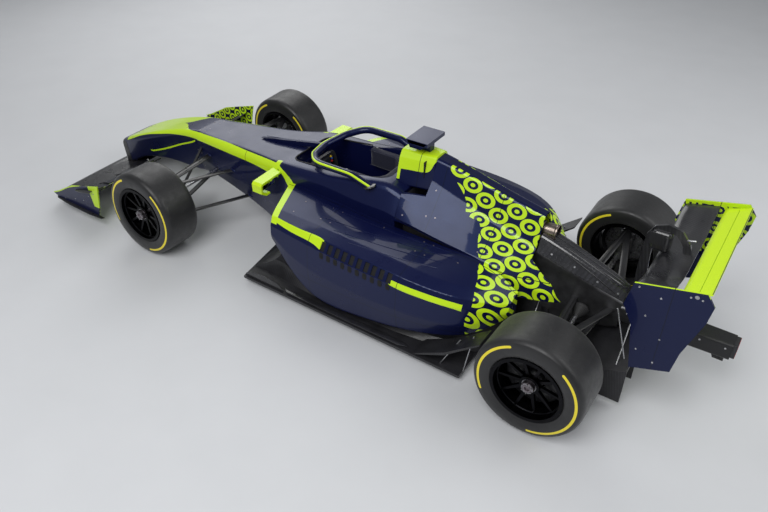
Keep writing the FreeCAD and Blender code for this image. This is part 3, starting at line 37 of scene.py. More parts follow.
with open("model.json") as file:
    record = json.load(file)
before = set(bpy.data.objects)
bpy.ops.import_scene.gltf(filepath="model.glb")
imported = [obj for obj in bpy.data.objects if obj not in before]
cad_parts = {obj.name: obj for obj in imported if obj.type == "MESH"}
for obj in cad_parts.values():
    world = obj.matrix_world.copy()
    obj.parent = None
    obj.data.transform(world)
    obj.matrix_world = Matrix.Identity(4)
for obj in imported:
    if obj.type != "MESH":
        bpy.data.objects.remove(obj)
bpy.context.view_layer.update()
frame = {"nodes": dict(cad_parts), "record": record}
nodes = frame["nodes"]
REAR_AXLE_X = -1.755
SIDES = (1, -1)
ROLLS = {joint["name"]: joint for joint in frame["record"]["behaviour"]["joints"]}

# Tyres and rims: radii, half widths, and how far the rims' edges and spokes stand back.
TYRE_RADIUS = 0.328
MARK_RADIUS = 0.2875
TYRE_HALF = {"front": 0.146, "rear": 0.163}
BEAD_INSET = 0.022
SPOKE_RECESS = {"front": 0.006, "rear": 0.026}

# Where a line that looks for a surface starts, and how far a fastener's foot sinks into it.
ABOVE = 1.5
BESIDE = 1.2
SINK = -0.0004

# Cell, radius, stroke and dot of the small rings on the endplates.
SMALL_RINGS = ((0.15, 0.124), 0.036, 0.02, 0.012)


def at(x, y, z):
    """A place given in metres from the rear axle, the middle plane and the ground."""
    return Vector((REAR_AXLE_X + x, y, z))


class Finish:
    """A material being made up from nodes, with its shader's plain values."""

    def __init__(self, name, colour, roughness=0.5, metallic=0.0, **values):
        self.material = bpy.data.materials.new(name)
        self.material.use_nodes = True
        self.tree = self.material.node_tree
        self.shader = self.tree.nodes["Principled BSDF"]
        self.put("Base Color", (*colour, 1))
        self.put("Roughness", roughness)
        self.put("Metallic", metallic)
        for socket, value in values.items():
            self.put(socket.replace("_", " "), value)
        self.material.diffuse_color = (*colour, 1)
        self.material.roughness = roughness
        self.material.metallic = metallic

    def put(self, socket, value):
        self.feed(self.shader.inputs[socket], value)

    def node(self, kind, **settings):
        made = self.tree.nodes.new(kind)
        for key, value in settings.items():
            setattr(made, key, value)
        return made

    def feed(self, socket, value):
        if isinstance(value, bpy.types.NodeSocket):
            self.tree.links.new(value, socket)
        elif value is not None:
            socket.default_value = value

    def math(self, operation, a, b=None, c=None):
        made = self.node("ShaderNodeMath", operation=operation)
        for socket, value in zip(made.inputs, (a, b, c)):
            self.feed(socket, value)
        return made.outputs[0]

    def minus(self, a, b):
        return self.math("SUBTRACT", a, b)

    def times(self, a, b):
        return self.math("MULTIPLY", a, b)

    def size(self, value):
        return self.math("ABSOLUTE", value)

    def line(self, value, slope, start):
        return self.math("MULTIPLY_ADD", value, slope, start)

    def length(self, a, b):
        """Distance, from its two parts."""
        return self.math("SQRT", self.math("ADD", self.times(a, a), self.times(b, b)))

    def teeth(self, value, pitch):
        """A zigzag between 0 and 0.5 over the value, with one tooth to each pitch."""
        return self.math("PINGPONG", self.math("DIVIDE", value, pitch), 0.5)

    def above(self, value, limit):
        return self.math("GREATER_THAN", value, limit)

    def below(self, value, limit):
        return self.math("LESS_THAN", value, limit)

    def between(self, value, low, high):
        return self.both(self.above(value, low), self.below(value, high))

    def chain(self, operation, values):
        result = values[0]
        for value in values[1:]:
            result = self.math(operation, result, value)
        return result

    def both(self, *masks):
        """1 where every mask is 1."""
        return self.chain("MULTIPLY", masks)

    def either(self, *masks):
        """1 where any mask is 1."""
        return self.chain("MAXIMUM", masks)

    def least(self, *values):
        return self.chain("MINIMUM", values)

    def place(self):
        """Object coordinates."""
        return self.node("ShaderNodeTexCoord").outputs["Object"]

    def parts(self, here):
        """The three parts of a place."""
        return tuple(self.fed("ShaderNodeSeparateXYZ", Vector=here).outputs)

    def fed(self, kind, **values):
        """A node whose sockets take these values."""
        made = self.node(kind)
        for socket, value in values.items():
            self.feed(made.inputs[socket], value)
        return made

    def mix(self, share, first, second):
        made = self.node("ShaderNodeMix", data_type="RGBA")
        self.feed(made.inputs[0], share)
        for socket, value in ((made.inputs[6], first), (made.inputs[7], second)):
            self.feed(socket, (*value, 1) if isinstance(value, tuple) and len(value) == 3 else value)
        return made.outputs[2]

    def noise(self, where, scale, detail=3):
        return self.fed("ShaderNodeTexNoise", Vector=where, Scale=scale, Detail=detail,
                        Roughness=0.55).outputs["Fac"]

    def spread(self, value, low, high, to_low=0.0, to_high=1.0):
        made = self.node("ShaderNodeMapRange")
        for socket, given in zip(made.inputs, (value, low, high, to_low, to_high)):
            self.feed(socket, given)
        return made.outputs[0]

    def drift(self, here, scale):
        """Soft patches: 0 to 1."""
        return self.spread(self.noise(here, scale), 0.35, 0.7)

    def rough(self, marks, low, high):
        """Roughness between two values that follows the marks."""
        self.put("Roughness", self.spread(marks, 0.3, 0.7, low, high))

    def bump(self, height, distance, strength):
        self.put("Normal", self.fed("ShaderNodeBump", Height=height, Distance=distance,
                                    Strength=strength).outputs[0])

    def curve(self, value, points):
        """A smooth line through the points, in rising order: its height over the value."""
        made = self.node("ShaderNodeFloatCurve")
        low, high = points[0][0], points[-1][0]
        bottom = min(p[1] for p in points)
        rise = max(p[1] for p in points) - bottom or 1.0
        line = made.mapping.curves[0]
        placed = [((p[0] - low) / (high - low), (p[1] - bottom) / rise) for p in points]
        line.points[0].location = placed[0]
        line.points[1].location = placed[-1]
        for spot in placed[1:-1]:
            line.points.new(*spot)
        for point in line.points:
            point.handle_type = "AUTO_CLAMPED"
        made.mapping.update()
        self.feed(made.inputs["Value"], self.spread(value, low, high))
        return self.spread(made.outputs[0], 0.0, 1.0, bottom, bottom + rise)

    def rings(self, u, v, cell=(0.208, 0.172), radius=0.05, stroke=0.028, dot=0.016):
        """Staggered rings with a dot in each: 1 on the drawn parts. Cells are counted from 40 back."""
        distances = []
        for shift in (40.0, 40.5):
            away = []
            for value, size in ((u, cell[0]), (v, cell[1])):
                part = self.minus(self.math("FRACT", self.line(value, 1 / size, shift)), 0.5)
                away.append(self.times(part, size))
            distances.append(self.length(*away))
        nearest = self.least(*distances)
        ring = self.below(self.size(self.minus(nearest, radius)), stroke / 2)
        return self.either(ring, self.below(nearest, dot))


def shade(colour, times, plus=0.0):
    """The colour made lighter or darker."""
    return tuple(min(1, c * times + plus) for c in colour)


def weave(made, here, tow):
    """Height of a two by two twill, and which of its threads lies on top."""
    x, y, z = made.parts(here)
    across = made.math("DIVIDE", made.line(z, 0.6, x), tow)
    along = made.math("DIVIDE", made.line(z, 0.8, y), tow)
    step = made.minus(made.math("FLOOR", across), made.math("FLOOR", along))
    over = made.below(made.math("FLOORED_MODULO", step, 4.0), 1.99)
    thread, cross = (made.math("PINGPONG", value, 0.5) for value in (across, along))
    return made.line(made.minus(1.0, over), cross, made.times(over, thread)), over


def carbon(name, roughness=0.3, tow=0.005, tint=(0.012, 0.012, 0.014), coat=0.6):
    """Clear-coated twill, with the shade of its resin drifting a little."""
    made = Finish(name, tint, roughness, Coat_Weight=coat, Coat_Roughness=0.12)
    here = made.place()
    height, over = weave(made, here, tow)
    made.put("Base Color", made.mix(made.drift(here, 9), made.mix(over, tint, shade(tint, 2.4)), tint))
    made.rough(made.noise(here, 14), roughness - 0.06, roughness + 0.1)
    made.bump(height, 0.0006, 0.35)
    return made.material


def paint(name, colour, second=None, mask=None, seams=None, roughness=0.3):
    """Clear-coated paint. Where the mask is 1 the second colour shows, and a seam is a dark groove."""
    # The blue specular tint is a painted reflection: it colours every reflection on the paint blue, as if blue
    # surroundings were mirrored in it.
    made = Finish(name, colour, roughness, Coat_Weight=0.32, Coat_Roughness=0.04, Specular_IOR_Level=0.3,
                  Specular_Tint=(0.35, 0.5, 1.0, 1.0))
    here = made.place()
    x, y, z = made.parts(here)
    x = made.minus(x, REAR_AXLE_X)
    side = made.size(y)
    fleck = made.spread(made.noise(here, 900, 1), 0.45, 0.75)
    deep = made.mix(fleck, colour, shade(colour, 1.4, 0.001))
    if mask:
        deep = made.mix(mask(made, x, y, side, z), deep, made.mix(fleck, second, shade(second, 1.06)))
    grain = made.times(made.noise(here, 220, 2), 0.15)
    if seams:
        away = made.least(*[made.size(distance) for distance in seams(made, x, y, side, z)])
        line = made.spread(away, 0.0009, 0.0026, 1.0, 0.0)
        deep = made.mix(line, deep, (0.002, 0.002, 0.003))
        grain = made.minus(grain, made.times(line, 3.0))
    made.put("Base Color", deep)
    made.rough(made.noise(here, 6), roughness - 0.04, roughness + 0.08)
    made.bump(grain, 0.0003, 0.2)
    return made.material


def metal(name, colour, roughness, scale=60.0):
    """Bare or coated metal with its machining marks, and a darker film in patches."""
    made = Finish(name, colour, roughness, 1.0)
    here = made.place()
    marks = made.noise(here, scale, 4)
    made.put("Base Color", made.mix(made.drift(here, 11), colour, shade(colour, 0.72)))
    made.rough(marks, roughness - 0.08, roughness + 0.14)
    made.bump(marks, 0.0004, 0.25)
    return made.material


def cloth(name, colour, second, thread, rib=None):
    """Woven or stitched fabric, its thread as a bump and its shade drifting."""
    made = Finish(name, colour, 0.85, Sheen_Weight=0.3, Sheen_Roughness=0.4)
    here = made.place()
    height, over = weave(made, here, thread)
    woven = made.mix(made.times(over, 0.5), colour, second or shade(colour, 1.7, 0.004))
    made.put("Base Color", made.mix(made.spread(made.noise(here, 18), 0.35, 0.7, 0.0, 0.5), woven, colour))
    if rib:
        height = made.line(made.teeth(made.parts(here)[0], rib), 4.0, height)
    made.rough(made.noise(here, 30), 0.75, 0.95)
    made.bump(height, 0.0005, 0.6)
    return made.material


def moulded(name, colour, roughness, grain, **values):
    """Moulded plastic or rubber with a fine grain."""
    made = Finish(name, colour, roughness, **values)
    here = made.place()
    spots = made.noise(here, grain, 2)
    made.put("Base Color", made.mix(made.spread(made.noise(here, 12), 0.3, 0.7), colour, shade(colour, 1.35, 0.002)))
    made.rough(spots, roughness - 0.07, roughness + 0.12)
    made.bump(spots, 0.0003, 0.3)
    return made.material


NAVY = (0.003, 0.0046, 0.033)
LIME = (0.55, 0.8, 0.012)
FINISHES = {}


def finish(surface):
    """A material as it is, or the finish of that name, made when it is first asked for."""
    if not isinstance(surface, str):
        return surface
    if surface not in FINISHES:
        FINISHES[surface] = MAKERS[surface]()
    return FINISHES[surface]


MAKERS = {
    "navy": lambda: paint("navy_paint", NAVY),
    "lime": lambda: paint("lime_paint", LIME, roughness=0.24),
    "carbon": lambda: carbon("carbon_gloss"),
    "matt_carbon": lambda: carbon("carbon_matt", 0.46, 0.004, coat=0.15),
    "dark_carbon": lambda: carbon("carbon_dark", 0.38, 0.004, (0.008, 0.008, 0.009), 0.3),
    "alloy": lambda: metal("machined_alloy", (0.34, 0.34, 0.35), 0.36),
    "steel": lambda: metal("bright_steel", (0.5, 0.5, 0.52), 0.28),
    "titanium": lambda: metal("blued_titanium", (0.28, 0.25, 0.27), 0.32),
    "black_alloy": lambda: metal("black_alloy", (0.012, 0.012, 0.014), 0.34),
    "engine_metal": lambda: metal("cast_metal", (0.2, 0.2, 0.21), 0.5, 120),
    "hot_metal": lambda: metal("heated_pipe", (0.36, 0.3, 0.26), 0.3, 40),
    "rubber": lambda: moulded("black_rubber", (0.012, 0.012, 0.013), 0.6, 300),
    "plastic": lambda: moulded("black_plastic", (0.014, 0.014, 0.016), 0.42, 500),
    "grey_plastic": lambda: moulded("grey_plastic", (0.09, 0.09, 0.1), 0.4, 500),
    "red_plastic": lambda: moulded("red_plastic", (0.42, 0.015, 0.015), 0.35, 500),
    "yellow_plastic": lambda: moulded("yellow_plastic", (0.75, 0.52, 0.02), 0.35, 500),
    "green_plastic": lambda: moulded("green_plastic", (0.03, 0.32, 0.06), 0.35, 500),
    "blue_plastic": lambda: moulded("blue_plastic", (0.02, 0.09, 0.42), 0.35, 500),
    # Near-black plastic used as painted shade in and below the sidepods' louvre slots.
    "vent_black": lambda: moulded("vent_black", (0.0015, 0.0015, 0.002), 0.8, 300),
    "gloss_carbon": lambda: carbon("gloss_carbon", 0.16, 0.006, (0.012, 0.012, 0.015), 1.0),
    "lens": lambda: moulded("red_lens", (0.5, 0.01, 0.012), 0.12, 200, Coat_Weight=1.0),
    "webbing": lambda: cloth("belt_webbing", (0.012, 0.014, 0.03), None, 0.0022, 0.006),
    "padding": lambda: cloth("pad_cover", (0.0045, 0.0055, 0.02), (0.01, 0.012, 0.034), 0.0011),
    "foam": lambda: moulded("seat_foam", (0.016, 0.016, 0.018), 0.85, 160),
}


def dress(surface, names):
    """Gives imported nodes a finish."""
    for name in names.split():
        if not nodes[name].material_slots:
            nodes[name].data.materials.append(finish(surface))
        for slot in nodes[name].material_slots:
            slot.material = finish(surface)


def mode(name):
    bpy.ops.object.mode_set(mode=name)


def deselect():
    if bpy.context.object and bpy.context.object.mode != "OBJECT":
        mode("OBJECT")
    bpy.ops.object.select_all(action="DESELECT")


def chosen(*pieces):
    """Selects these pieces alone, the last one active."""
    deselect()
    for piece in pieces:
        piece.select_set(True)
    bpy.context.view_layer.objects.active = pieces[-1]


def modify(piece, kind, **settings):
    """Adds a modifier and applies it."""
    chosen(piece)
    modifier = piece.modifiers.new(kind, kind)
    for key, value in settings.items():
        setattr(modifier, key, value)
    bpy.ops.object.modifier_apply(modifier=modifier.name)
    return piece


def bevelled(piece, width, segments=2, angle=32):
    return modify(piece, "BEVEL", width=width, segments=segments, limit_method="ANGLE",
                  angle_limit=math.radians(angle))


def pick_faces(piece, test):
    """Enters edit mode with only the faces selected that pass the test."""
    chosen(piece)
    mode("EDIT")
    bpy.ops.mesh.select_mode(type="FACE")
    bpy.ops.mesh.select_all(action="DESELECT")
    mode("OBJECT")
    for face in piece.data.polygons:
        face.select = test(face)
    mode("EDIT")


def settle(pieces, name, surface, body="chassis", angle=35):
    """Joins the pieces, applies their place, gives them a finish and lets them ride on a body."""
    piece = joined(pieces)
    chosen(piece)
    piece.name = piece.data.name = name
    bpy.ops.object.transform_apply()
    piece.data.materials.clear()
    piece.data.materials.append(finish(surface))
    if angle:
        bpy.ops.object.shade_smooth_by_angle(angle=math.radians(angle))
    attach(piece, body)
    return piece


def joined(pieces):
    """One mesh of a list of pieces; a single piece stays as it is."""
    if not isinstance(pieces, list):
        return pieces
    chosen(*pieces)
    bpy.ops.object.join()
    return bpy.context.object


def twin_of(piece):
    """A copy of a piece, with a mesh of its own."""
    twin = piece.copy()
    twin.data = piece.data.copy()
    bpy.context.collection.objects.link(twin)
    return twin


def outwards():
    """Turns the faces of the piece in edit mode outwards, and leaves that mode."""
    bpy.ops.mesh.select_all(action="SELECT")
    bpy.ops.mesh.normals_make_consistent(inside=False)
    mode("OBJECT")


def copies(piece, moves):
    """The piece repeated at each move, and joined; the first stands at the first move."""
    made = []
    for move in moves:
        twin = twin_of(piece)
        twin.matrix_world = move @ piece.matrix_world
        made.append(twin)
    bpy.data.objects.remove(piece)
    for twin in made:
        chosen(twin)
        bpy.ops.object.transform_apply()
    return joined(made)


def other_side(piece):
    """The piece's mirror image across the middle plane, its faces turned outwards again."""
    twin = twin_of(piece)
    chosen(twin)
    bpy.ops.object.transform_apply()
    twin.matrix_world = Matrix.Diagonal((1, -1, 1, 1))
    bpy.ops.object.transform_apply()
    mode("EDIT")
    outwards()
    return twin


def both(pieces):
    """The pieces and their mirror images as one mesh."""
    piece = joined(pieces)
    return joined([other_side(piece), piece])


def cube(low, high):
    """A plain block between two corners."""
    deselect()
    bpy.ops.mesh.primitive_cube_add(size=1, location=(low + high) / 2)
    piece = bpy.context.object
    piece.scale = high - low
    bpy.ops.object.transform_apply()
    return piece


def block(low, high, bevel=0.003, segments=2):
    """A rounded block between two corners."""
    return bevelled(cube(Vector(low), Vector(high)), bevel, segments)


def reshaped(low, high, direction, scale, move, bevel):
    """A rounded block whose face in one direction is scaled about its middle and moved."""
    piece, direction = cube(low, high), Vector(direction)
    pick_faces(piece, lambda face: face.normal.dot(direction) > 0.9)
    middle = (low + high) / 2 + Vector(d * (h - l) / 2 for d, l, h in zip(direction, low, high))
    bpy.ops.transform.resize(value=scale, center_override=middle)
    bpy.ops.transform.translate(value=move)
    mode("OBJECT")
    return bevelled(piece, bevel)


def rod(start, end, radius, end_radius=None, sides=20, flat=None):
    """A round rod, or a cone, between two places; flat is how much thinner one side is."""
    deselect()
    start, end = Vector(start), Vector(end)
    along = end - start
    bpy.ops.mesh.primitive_cone_add(vertices=sides, radius1=radius, depth=along.length,
                                    radius2=radius if end_radius is None else end_radius,
                                    location=(start + end) / 2)
    piece = bpy.context.object
    if flat:
        piece.scale = (1, flat, 1)
        bpy.ops.object.transform_apply(location=False, rotation=False, scale=True)
    piece.rotation_euler = along.to_track_quat("Z", "Y").to_euler()
    bpy.ops.object.transform_apply(location=True, rotation=True, scale=False)
    return bevelled(piece, radius * 0.18, 2, 50)


def tube(points, radius, closed=False, detail=2, steps=6):
    """A thin round line along a smooth path."""
    deselect()
    data = bpy.data.curves.new("line", "CURVE")
    data.dimensions = "3D"
    spline = data.splines.new("NURBS")
    spline.points.add(len(points) - 1)
    for spot, point in zip(spline.points, points):
        spot.co = (*point, 1)
    spline.order_u = 3
    spline.use_cyclic_u = closed
    spline.use_endpoint_u = not closed
    spline.resolution_u = steps
    data.bevel_depth = radius
    data.bevel_resolution = detail
    data.use_fill_caps = True
    piece = bpy.data.objects.new("line", data)
    bpy.context.collection.objects.link(piece)
    chosen(piece)
    bpy.ops.object.convert(target="MESH")
    return bpy.context.object


def plate(outline, thickness, bevel=0.0012, segments=2):
    """A plate with the outline's corners, its thickness laid evenly on both sides."""
    deselect()
    count = len(outline)
    bpy.ops.mesh.primitive_circle_add(vertices=count, radius=1, fill_type="NGON", location=(0, 0, 0))
    piece = bpy.context.object
    for vertex, point in zip(piece.data.vertices, outline):
        vertex.co = Vector(point)
    a, b, c = (Vector(outline[i]) for i in (0, count // 3, 2 * count // 3))
    normal = (b - a).cross(c - a).normalized()
    pick_faces(piece, lambda face: True)
    bpy.ops.transform.translate(value=normal * (-thickness / 2))
    bpy.ops.mesh.extrude_region_move(TRANSFORM_OT_translate={"value": normal * thickness})
    outwards()
    return bevelled(piece, min(bevel, thickness * 0.35), segments)


def lathe(profile, centre, axis, steps):
    """A ring turned about an axis, from a closed outline of radius and place along the axis."""
    deselect()
    centre, axis = Vector(centre), Vector(axis).normalized()
    out = Vector((1, 0, 0)) if abs(axis.x) < 0.9 else Vector((0, 0, 1))
    out = (out - axis * out.dot(axis)).normalized()
    bpy.ops.mesh.primitive_circle_add(vertices=len(profile), radius=1, fill_type="NOTHING", location=(0, 0, 0))
    piece = bpy.context.object
    for vertex, (radius, along) in zip(piece.data.vertices, profile):
        vertex.co = centre + out * radius + axis * along
    chosen(piece)
    mode("EDIT")
    bpy.ops.mesh.select_all(action="SELECT")
    bpy.ops.mesh.spin(steps=steps, angle=2 * math.pi, center=centre, axis=axis)
    bpy.ops.mesh.select_all(action="SELECT")
    bpy.ops.mesh.remove_doubles(threshold=0.00005)
    outwards()
    return piece


def around(angle):
    """A flat direction, by degrees from straight ahead."""
    return Vector((math.cos(math.radians(angle)), math.sin(math.radians(angle)), 0))


def bolt(radius, height):
    """A small hexagon-socket button, standing on the ground at the origin and pointing up."""
    deselect()
    bpy.ops.mesh.primitive_cylinder_add(vertices=16, radius=radius, depth=height, location=(0, 0, height / 2))
    piece = bpy.context.object
    bpy.ops.object.transform_apply(location=True, rotation=False, scale=False)
    pick_faces(piece, lambda face: face.normal.z > 0.9)
    bpy.ops.mesh.inset(thickness=radius * 0.42, depth=0)
    bpy.ops.mesh.inset(thickness=radius * 0.05, depth=-height * 0.45)
    mode("OBJECT")
    return bevelled(piece, radius * 0.15, 1, 50)


def stand(place, direction):
    """The move that stands a piece on a place, pointing in a direction."""
    turn = Vector(direction).to_track_quat("Z", "Y").to_matrix().to_4x4()
    return Matrix.Translation(Vector(place)) @ turn


def bolts(places, radius, height):
    """Bolts at places, each with the direction that its head points in."""
    return copies(bolt(radius, height), [stand(place, direction) for place, direction in places])


class Corner:
    """One wheel's centre, axle and body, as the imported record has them."""

    def __init__(self, end, side):
        joint = ROLLS[f"roll_{end}_{side}"]
        self.end = end
        self.sign = 1 if side == "left" else -1
        self.centre = Vector(joint["pos_m"])
        self.axis = Vector(joint["axis"]) * self.sign
        self.wheel = f"wheel_{end}_{side}"
        self.carrier = f"knuckle_{side}" if end == "front" else "chassis"
        self.half = TYRE_HALF[end]
        self.rim_half = self.half - BEAD_INSET
        self.name = f"{end}_{side}"

    def ring(self, profile, steps):
        return lathe(profile, self.centre, self.axis, steps)

    def spot(self, radius, angle, along):
        """A place by radius, degrees from the top towards the front, and distance out."""
        ahead = Vector((1, 0, 0))
        up = self.axis.cross(ahead) * self.sign
        up = up if up.z > 0 else -up
        turn = math.radians(angle)
        return self.centre + self.axis * along + (up * math.cos(turn) + ahead * math.sin(turn)) * radius

    def pegs(self, radius, angles, along, height, size, tip, sides):
        """Short rods along the axle, in a ring round it."""
        feet = [self.spot(radius, angle, along) for angle in angles]
        return [rod(foot, foot + self.axis * height, size, tip, sides) for foot in feet]

    def fit(self, pieces, name, surface, body=None):
        """Settles pieces under the corner's name, on its wheel unless another body is named."""
        settle(pieces, f"{name}_{self.name}", surface, body or self.wheel)


CORNERS = [Corner(end, side) for end in ("front", "rear") for side in ("left", "right")]


class CarColours(bpy.types.PropertyGroup):
    body: bpy.props.FloatVectorProperty(
        name="Body", description="Colour of the body's paint", default=NAVY, size=3, subtype="COLOR", min=0, max=1)
    stripe: bpy.props.FloatVectorProperty(
        name="Stripe", description="Colour of the stripes and the pattern", default=LIME, size=3, subtype="COLOR",
        min=0, max=1)
    tyre_mark: bpy.props.FloatVectorProperty(
        name="Tyre mark", description="Colour of the arcs on the tyres", default=(0.85, 0.7, 0.03), size=3,
        subtype="COLOR", min=0, max=1)


class CarSizes(bpy.types.PropertyGroup):
    tyre_edge: bpy.props.FloatProperty(
        name="Tyre edge", description="Rounding of the tyre's shoulders", default=0.03, unit="LENGTH")
    stripe_width: bpy.props.FloatProperty(
        name="Stripe width", description="Width of the stripe behind a sidepod's mouth", default=0.05, unit="LENGTH")


def cell_mask(made, x, y, side, z):
    """Lime over the shoulders of the nose and the driver's cell, and a band down from the mirror."""
    inner = made.curve(x, [(2.2, 0.312), (2.289, 0.29), (2.503, 0.241), (2.749, 0.2), (3.0, 0.165),
                           (3.254, 0.14), (3.372, 0.132), (3.452, 0.087), (3.54, 0.02), (3.6, 0.0)])
    lower = made.curve(x, [(2.3, 0.645), (2.507, 0.637), (2.723, 0.627), (2.962, 0.619), (3.222, 0.605),
                           (3.357, 0.596), (3.537, 0.573), (3.725, 0.528), (3.929, 0.466), (4.204, 0.339),
                           (4.3, 0.3)])
    shoulder = made.both(made.above(side, inner), made.above(z, lower), made.between(x, 2.262, 4.205))
    back = made.curve(z, [(0.6, 2.106), (0.645, 2.112), (0.707, 2.171), (0.739, 2.253)])
    ahead = made.curve(z, [(0.6, 2.161), (0.609, 2.167), (0.678, 2.208), (0.718, 2.262), (0.739, 2.3)])
    band = made.both(made.between(x, back, ahead), made.above(z, 0.612), made.above(side, 0.26))
    sweep = made.curve(x, [(3.29, 0.59), (3.301, 0.58), (3.51, 0.483), (3.714, 0.388), (3.873, 0.325)])
    line = made.both(made.below(made.size(made.minus(z, sweep)), 0.0075), made.between(x, 3.3, 3.9))
    return made.either(shoulder, band, line)


def pattern_mask(made, x, y, side, z):
    """The staggered rings on the cover and the sidepods' rear, behind a slanted edge."""
    front = made.curve(z, [(0.38, 0.531), (0.476, 0.51), (0.542, 0.545), (0.584, 0.609), (0.667, 0.68),
                           (0.728, 0.709), (0.769, 0.82), (0.831, 0.85), (0.921, 0.937), (0.989, 1.011)])
    rings = made.rings(x, made.minus(z, side))
    return made.both(rings, made.below(x, front))


def cover_mask(made, x, y, side, z):
    return made.both(pattern_mask(made, x, y, side, z), made.above(side, 0.034))


def sidepod_mask(made, x, y, side, z, width):
    """A stripe behind the mouth, another along the crest, and the rings at the rear."""
    mouth = made.line(side, -0.379, 2.265 - width)
    lip = made.both(made.above(x, mouth), made.above(z, 0.575))
    crests = []
    for points_high, points_low, start, end in (
        ([(1.53, 0.588), (1.542, 0.59), (1.589, 0.595), (1.756, 0.602), (1.897, 0.608), (2.02, 0.613)],
         [(1.53, 0.534), (1.542, 0.536), (1.646, 0.559), (1.82, 0.571), (1.975, 0.588), (2.02, 0.592)],
         1.548, 2.02),
        ([(0.559, 0.478), (0.627, 0.492), (0.779, 0.509), (0.946, 0.52), (1.06, 0.529)],
         [(0.556, 0.437), (0.618, 0.454), (0.77, 0.472), (0.936, 0.484), (1.06, 0.503)], 0.556, 1.02),
    ):
        crests.append(made.both(made.between(z, made.curve(x, points_low), made.curve(x, points_high)),
                                made.between(x, start, end), made.above(side, 0.6)))
    return made.either(lip, *crests, pattern_mask(made, x, y, side, z))


def airbox_mask(made, x, y, side, z):
    """Lime over a lower edge that rises to the rear, with a narrow tail down the mouth's lip."""
    lower = made.curve(x, [(1.09, 1.02), (1.104, 1.0), (1.151, 0.932), (1.297, 0.922), (1.36, 0.918)])
    tail = made.both(made.above(x, 1.33), made.above(z, 0.852))
    return made.either(made.above(z, lower), tail)


def halo_mask(made, x, y, side, z):
    return made.both(made.below(x, 1.53), made.above(side, 0.335))


def front_flap_mask(made, x, y, side, z):
    """Rings on the upper flaps between lime ends; the lower flaps stay dark."""
    upper = made.below(x, 3.9265)
    rings = made.rings(x, side, (0.15, 0.124), 0.034, 0.018, 0.01)
    end = made.either(made.above(side, 0.715), made.below(side, 0.345))
    return made.both(upper, made.either(rings, end))


def rear_endplate_mask(made, x, y, side, z):
    """Rings on the inner faces, with a lime line along their top edge; the outer faces stay plain."""
    top = made.above(z, made.line(x, -0.18, 0.868))
    rings = made.both(made.rings(x, z, *SMALL_RINGS), made.above(z, 0.62))
    return made.either(made.both(rings, made.below(side, 0.4715)), made.both(top, made.below(side, 0.4805)))


def front_endplate_mask(made, x, y, side, z):
    """Rings on the inner faces, a lime line along the top edge and a lime band at the rear."""
    top = made.curve(x, [(3.68, 0.372), (3.74, 0.362), (4.06, 0.258), (4.3, 0.133), (4.37, 0.105)])
    rings = made.both(made.rings(x, z, *SMALL_RINGS), made.below(side, 0.8865))
    rear = made.both(made.below(x, made.line(z, 0.12, 3.775)), made.above(z, 0.165),
                     made.above(side, 0.8865))
    return made.either(made.above(z, top), rings, rear)


def body_seams(*levels):
    """Seams at places along the car."""
    def lines(made, x, y, side, z):
        return [made.minus(x, level) for level in levels]
    return lines


def cell_seams(made, x, y, side, z):
    hatch = made.math("MAXIMUM", made.size(made.minus(x, 2.86)), made.size(y))
    return [made.minus(z, 0.3), made.minus(x, 2.66), made.minus(hatch, 0.085)]


def cover_seams(made, x, y, side, z):
    panel = made.minus(z, made.line(x, 0.16, 0.475))
    return [made.minus(x, 1.02), made.minus(x, 0.62), panel, side]


def sidepod_seams(made, x, y, side, z):
    return [made.minus(x, 1.66), made.minus(x, 0.965), made.minus(side, 0.352), made.minus(z, 0.262)]


class CAR_OT_body_paint(bpy.types.Operator):
    """Paint the body, with its stripes, its pattern and its panel seams"""
    bl_idname = "car.body_paint"
    bl_label = "Body paint"

    def execute(self, context):
        body = tuple(context.scene.car_colours.body)
        stripe = tuple(context.scene.car_colours.stripe)
        width = context.scene.car_sizes.stripe_width

        def pod(*parts):
            return sidepod_mask(*parts, width=width)

        for name, mask, seams, parts in (
            ("cell_paint", cell_mask, cell_seams, "monocoque"),
            ("nose_paint", cell_mask, body_seams(4.12), "nose_cone"),
            ("cover_paint", cover_mask, cover_seams, "engine_cover"),
            ("sidepod_paint", pod, sidepod_seams, "sidepod_left sidepod_right"),
            ("airbox_paint", airbox_mask, body_seams(1.206), "airbox"),
            ("hoop_paint", halo_mask, None, "halo"),
            ("front_endplate_paint", front_endplate_mask, None, "front_wing_endplates"),
            ("rear_endplate_paint", rear_endplate_mask, body_seams(-0.52), "rear_wing_endplates"),
        ):
            dress(paint(name, body, stripe, mask, seams), parts)
        dress(paint("front_flap_paint", (0.01, 0.01, 0.012), stripe, front_flap_mask), "front_wing_flaps")
        dress("navy", "camera_pod")
        dress("lime", "mirrors")
        dress(paint("rear_flap_paint", stripe), "rear_wing_flap")
        return {"FINISHED"}


def casing():
    """Cast metal ahead, with the dark composite crash cone behind it."""
    made = Finish("gearbox_casing", (0.2, 0.2, 0.21), 0.45, 1.0)
    here = made.place()
    cone = made.below(made.minus(made.parts(here)[0], REAR_AXLE_X), -0.335)
    marks = made.noise(here, 140, 4)
    cast = made.mix(made.drift(here, 11), (0.17, 0.17, 0.18), (0.1, 0.1, 0.105))
    made.put("Base Color", made.mix(cone, cast, (0.008, 0.008, 0.01)))
    made.put("Metallic", made.minus(1.0, cone))
    made.rough(marks, 0.36, 0.58)
    made.bump(marks, 0.0005, 0.3)
    return made.material


def skid_wood():
    """Brown pressed wood, its grain along the car."""
    made = Finish("skid_board", (0.1, 0.066, 0.04), 0.7)
    turned = made.fed("ShaderNodeMapping", Vector=made.place(), Scale=(1.0, 22.0, 22.0))
    grain = made.noise(turned.outputs[0], 3.0, 6)
    made.put("Base Color", made.mix(made.spread(grain, 0.35, 0.65), (0.055, 0.036, 0.022), (0.15, 0.1, 0.06)))
    made.bump(grain, 0.0006, 0.4)
    return made.material


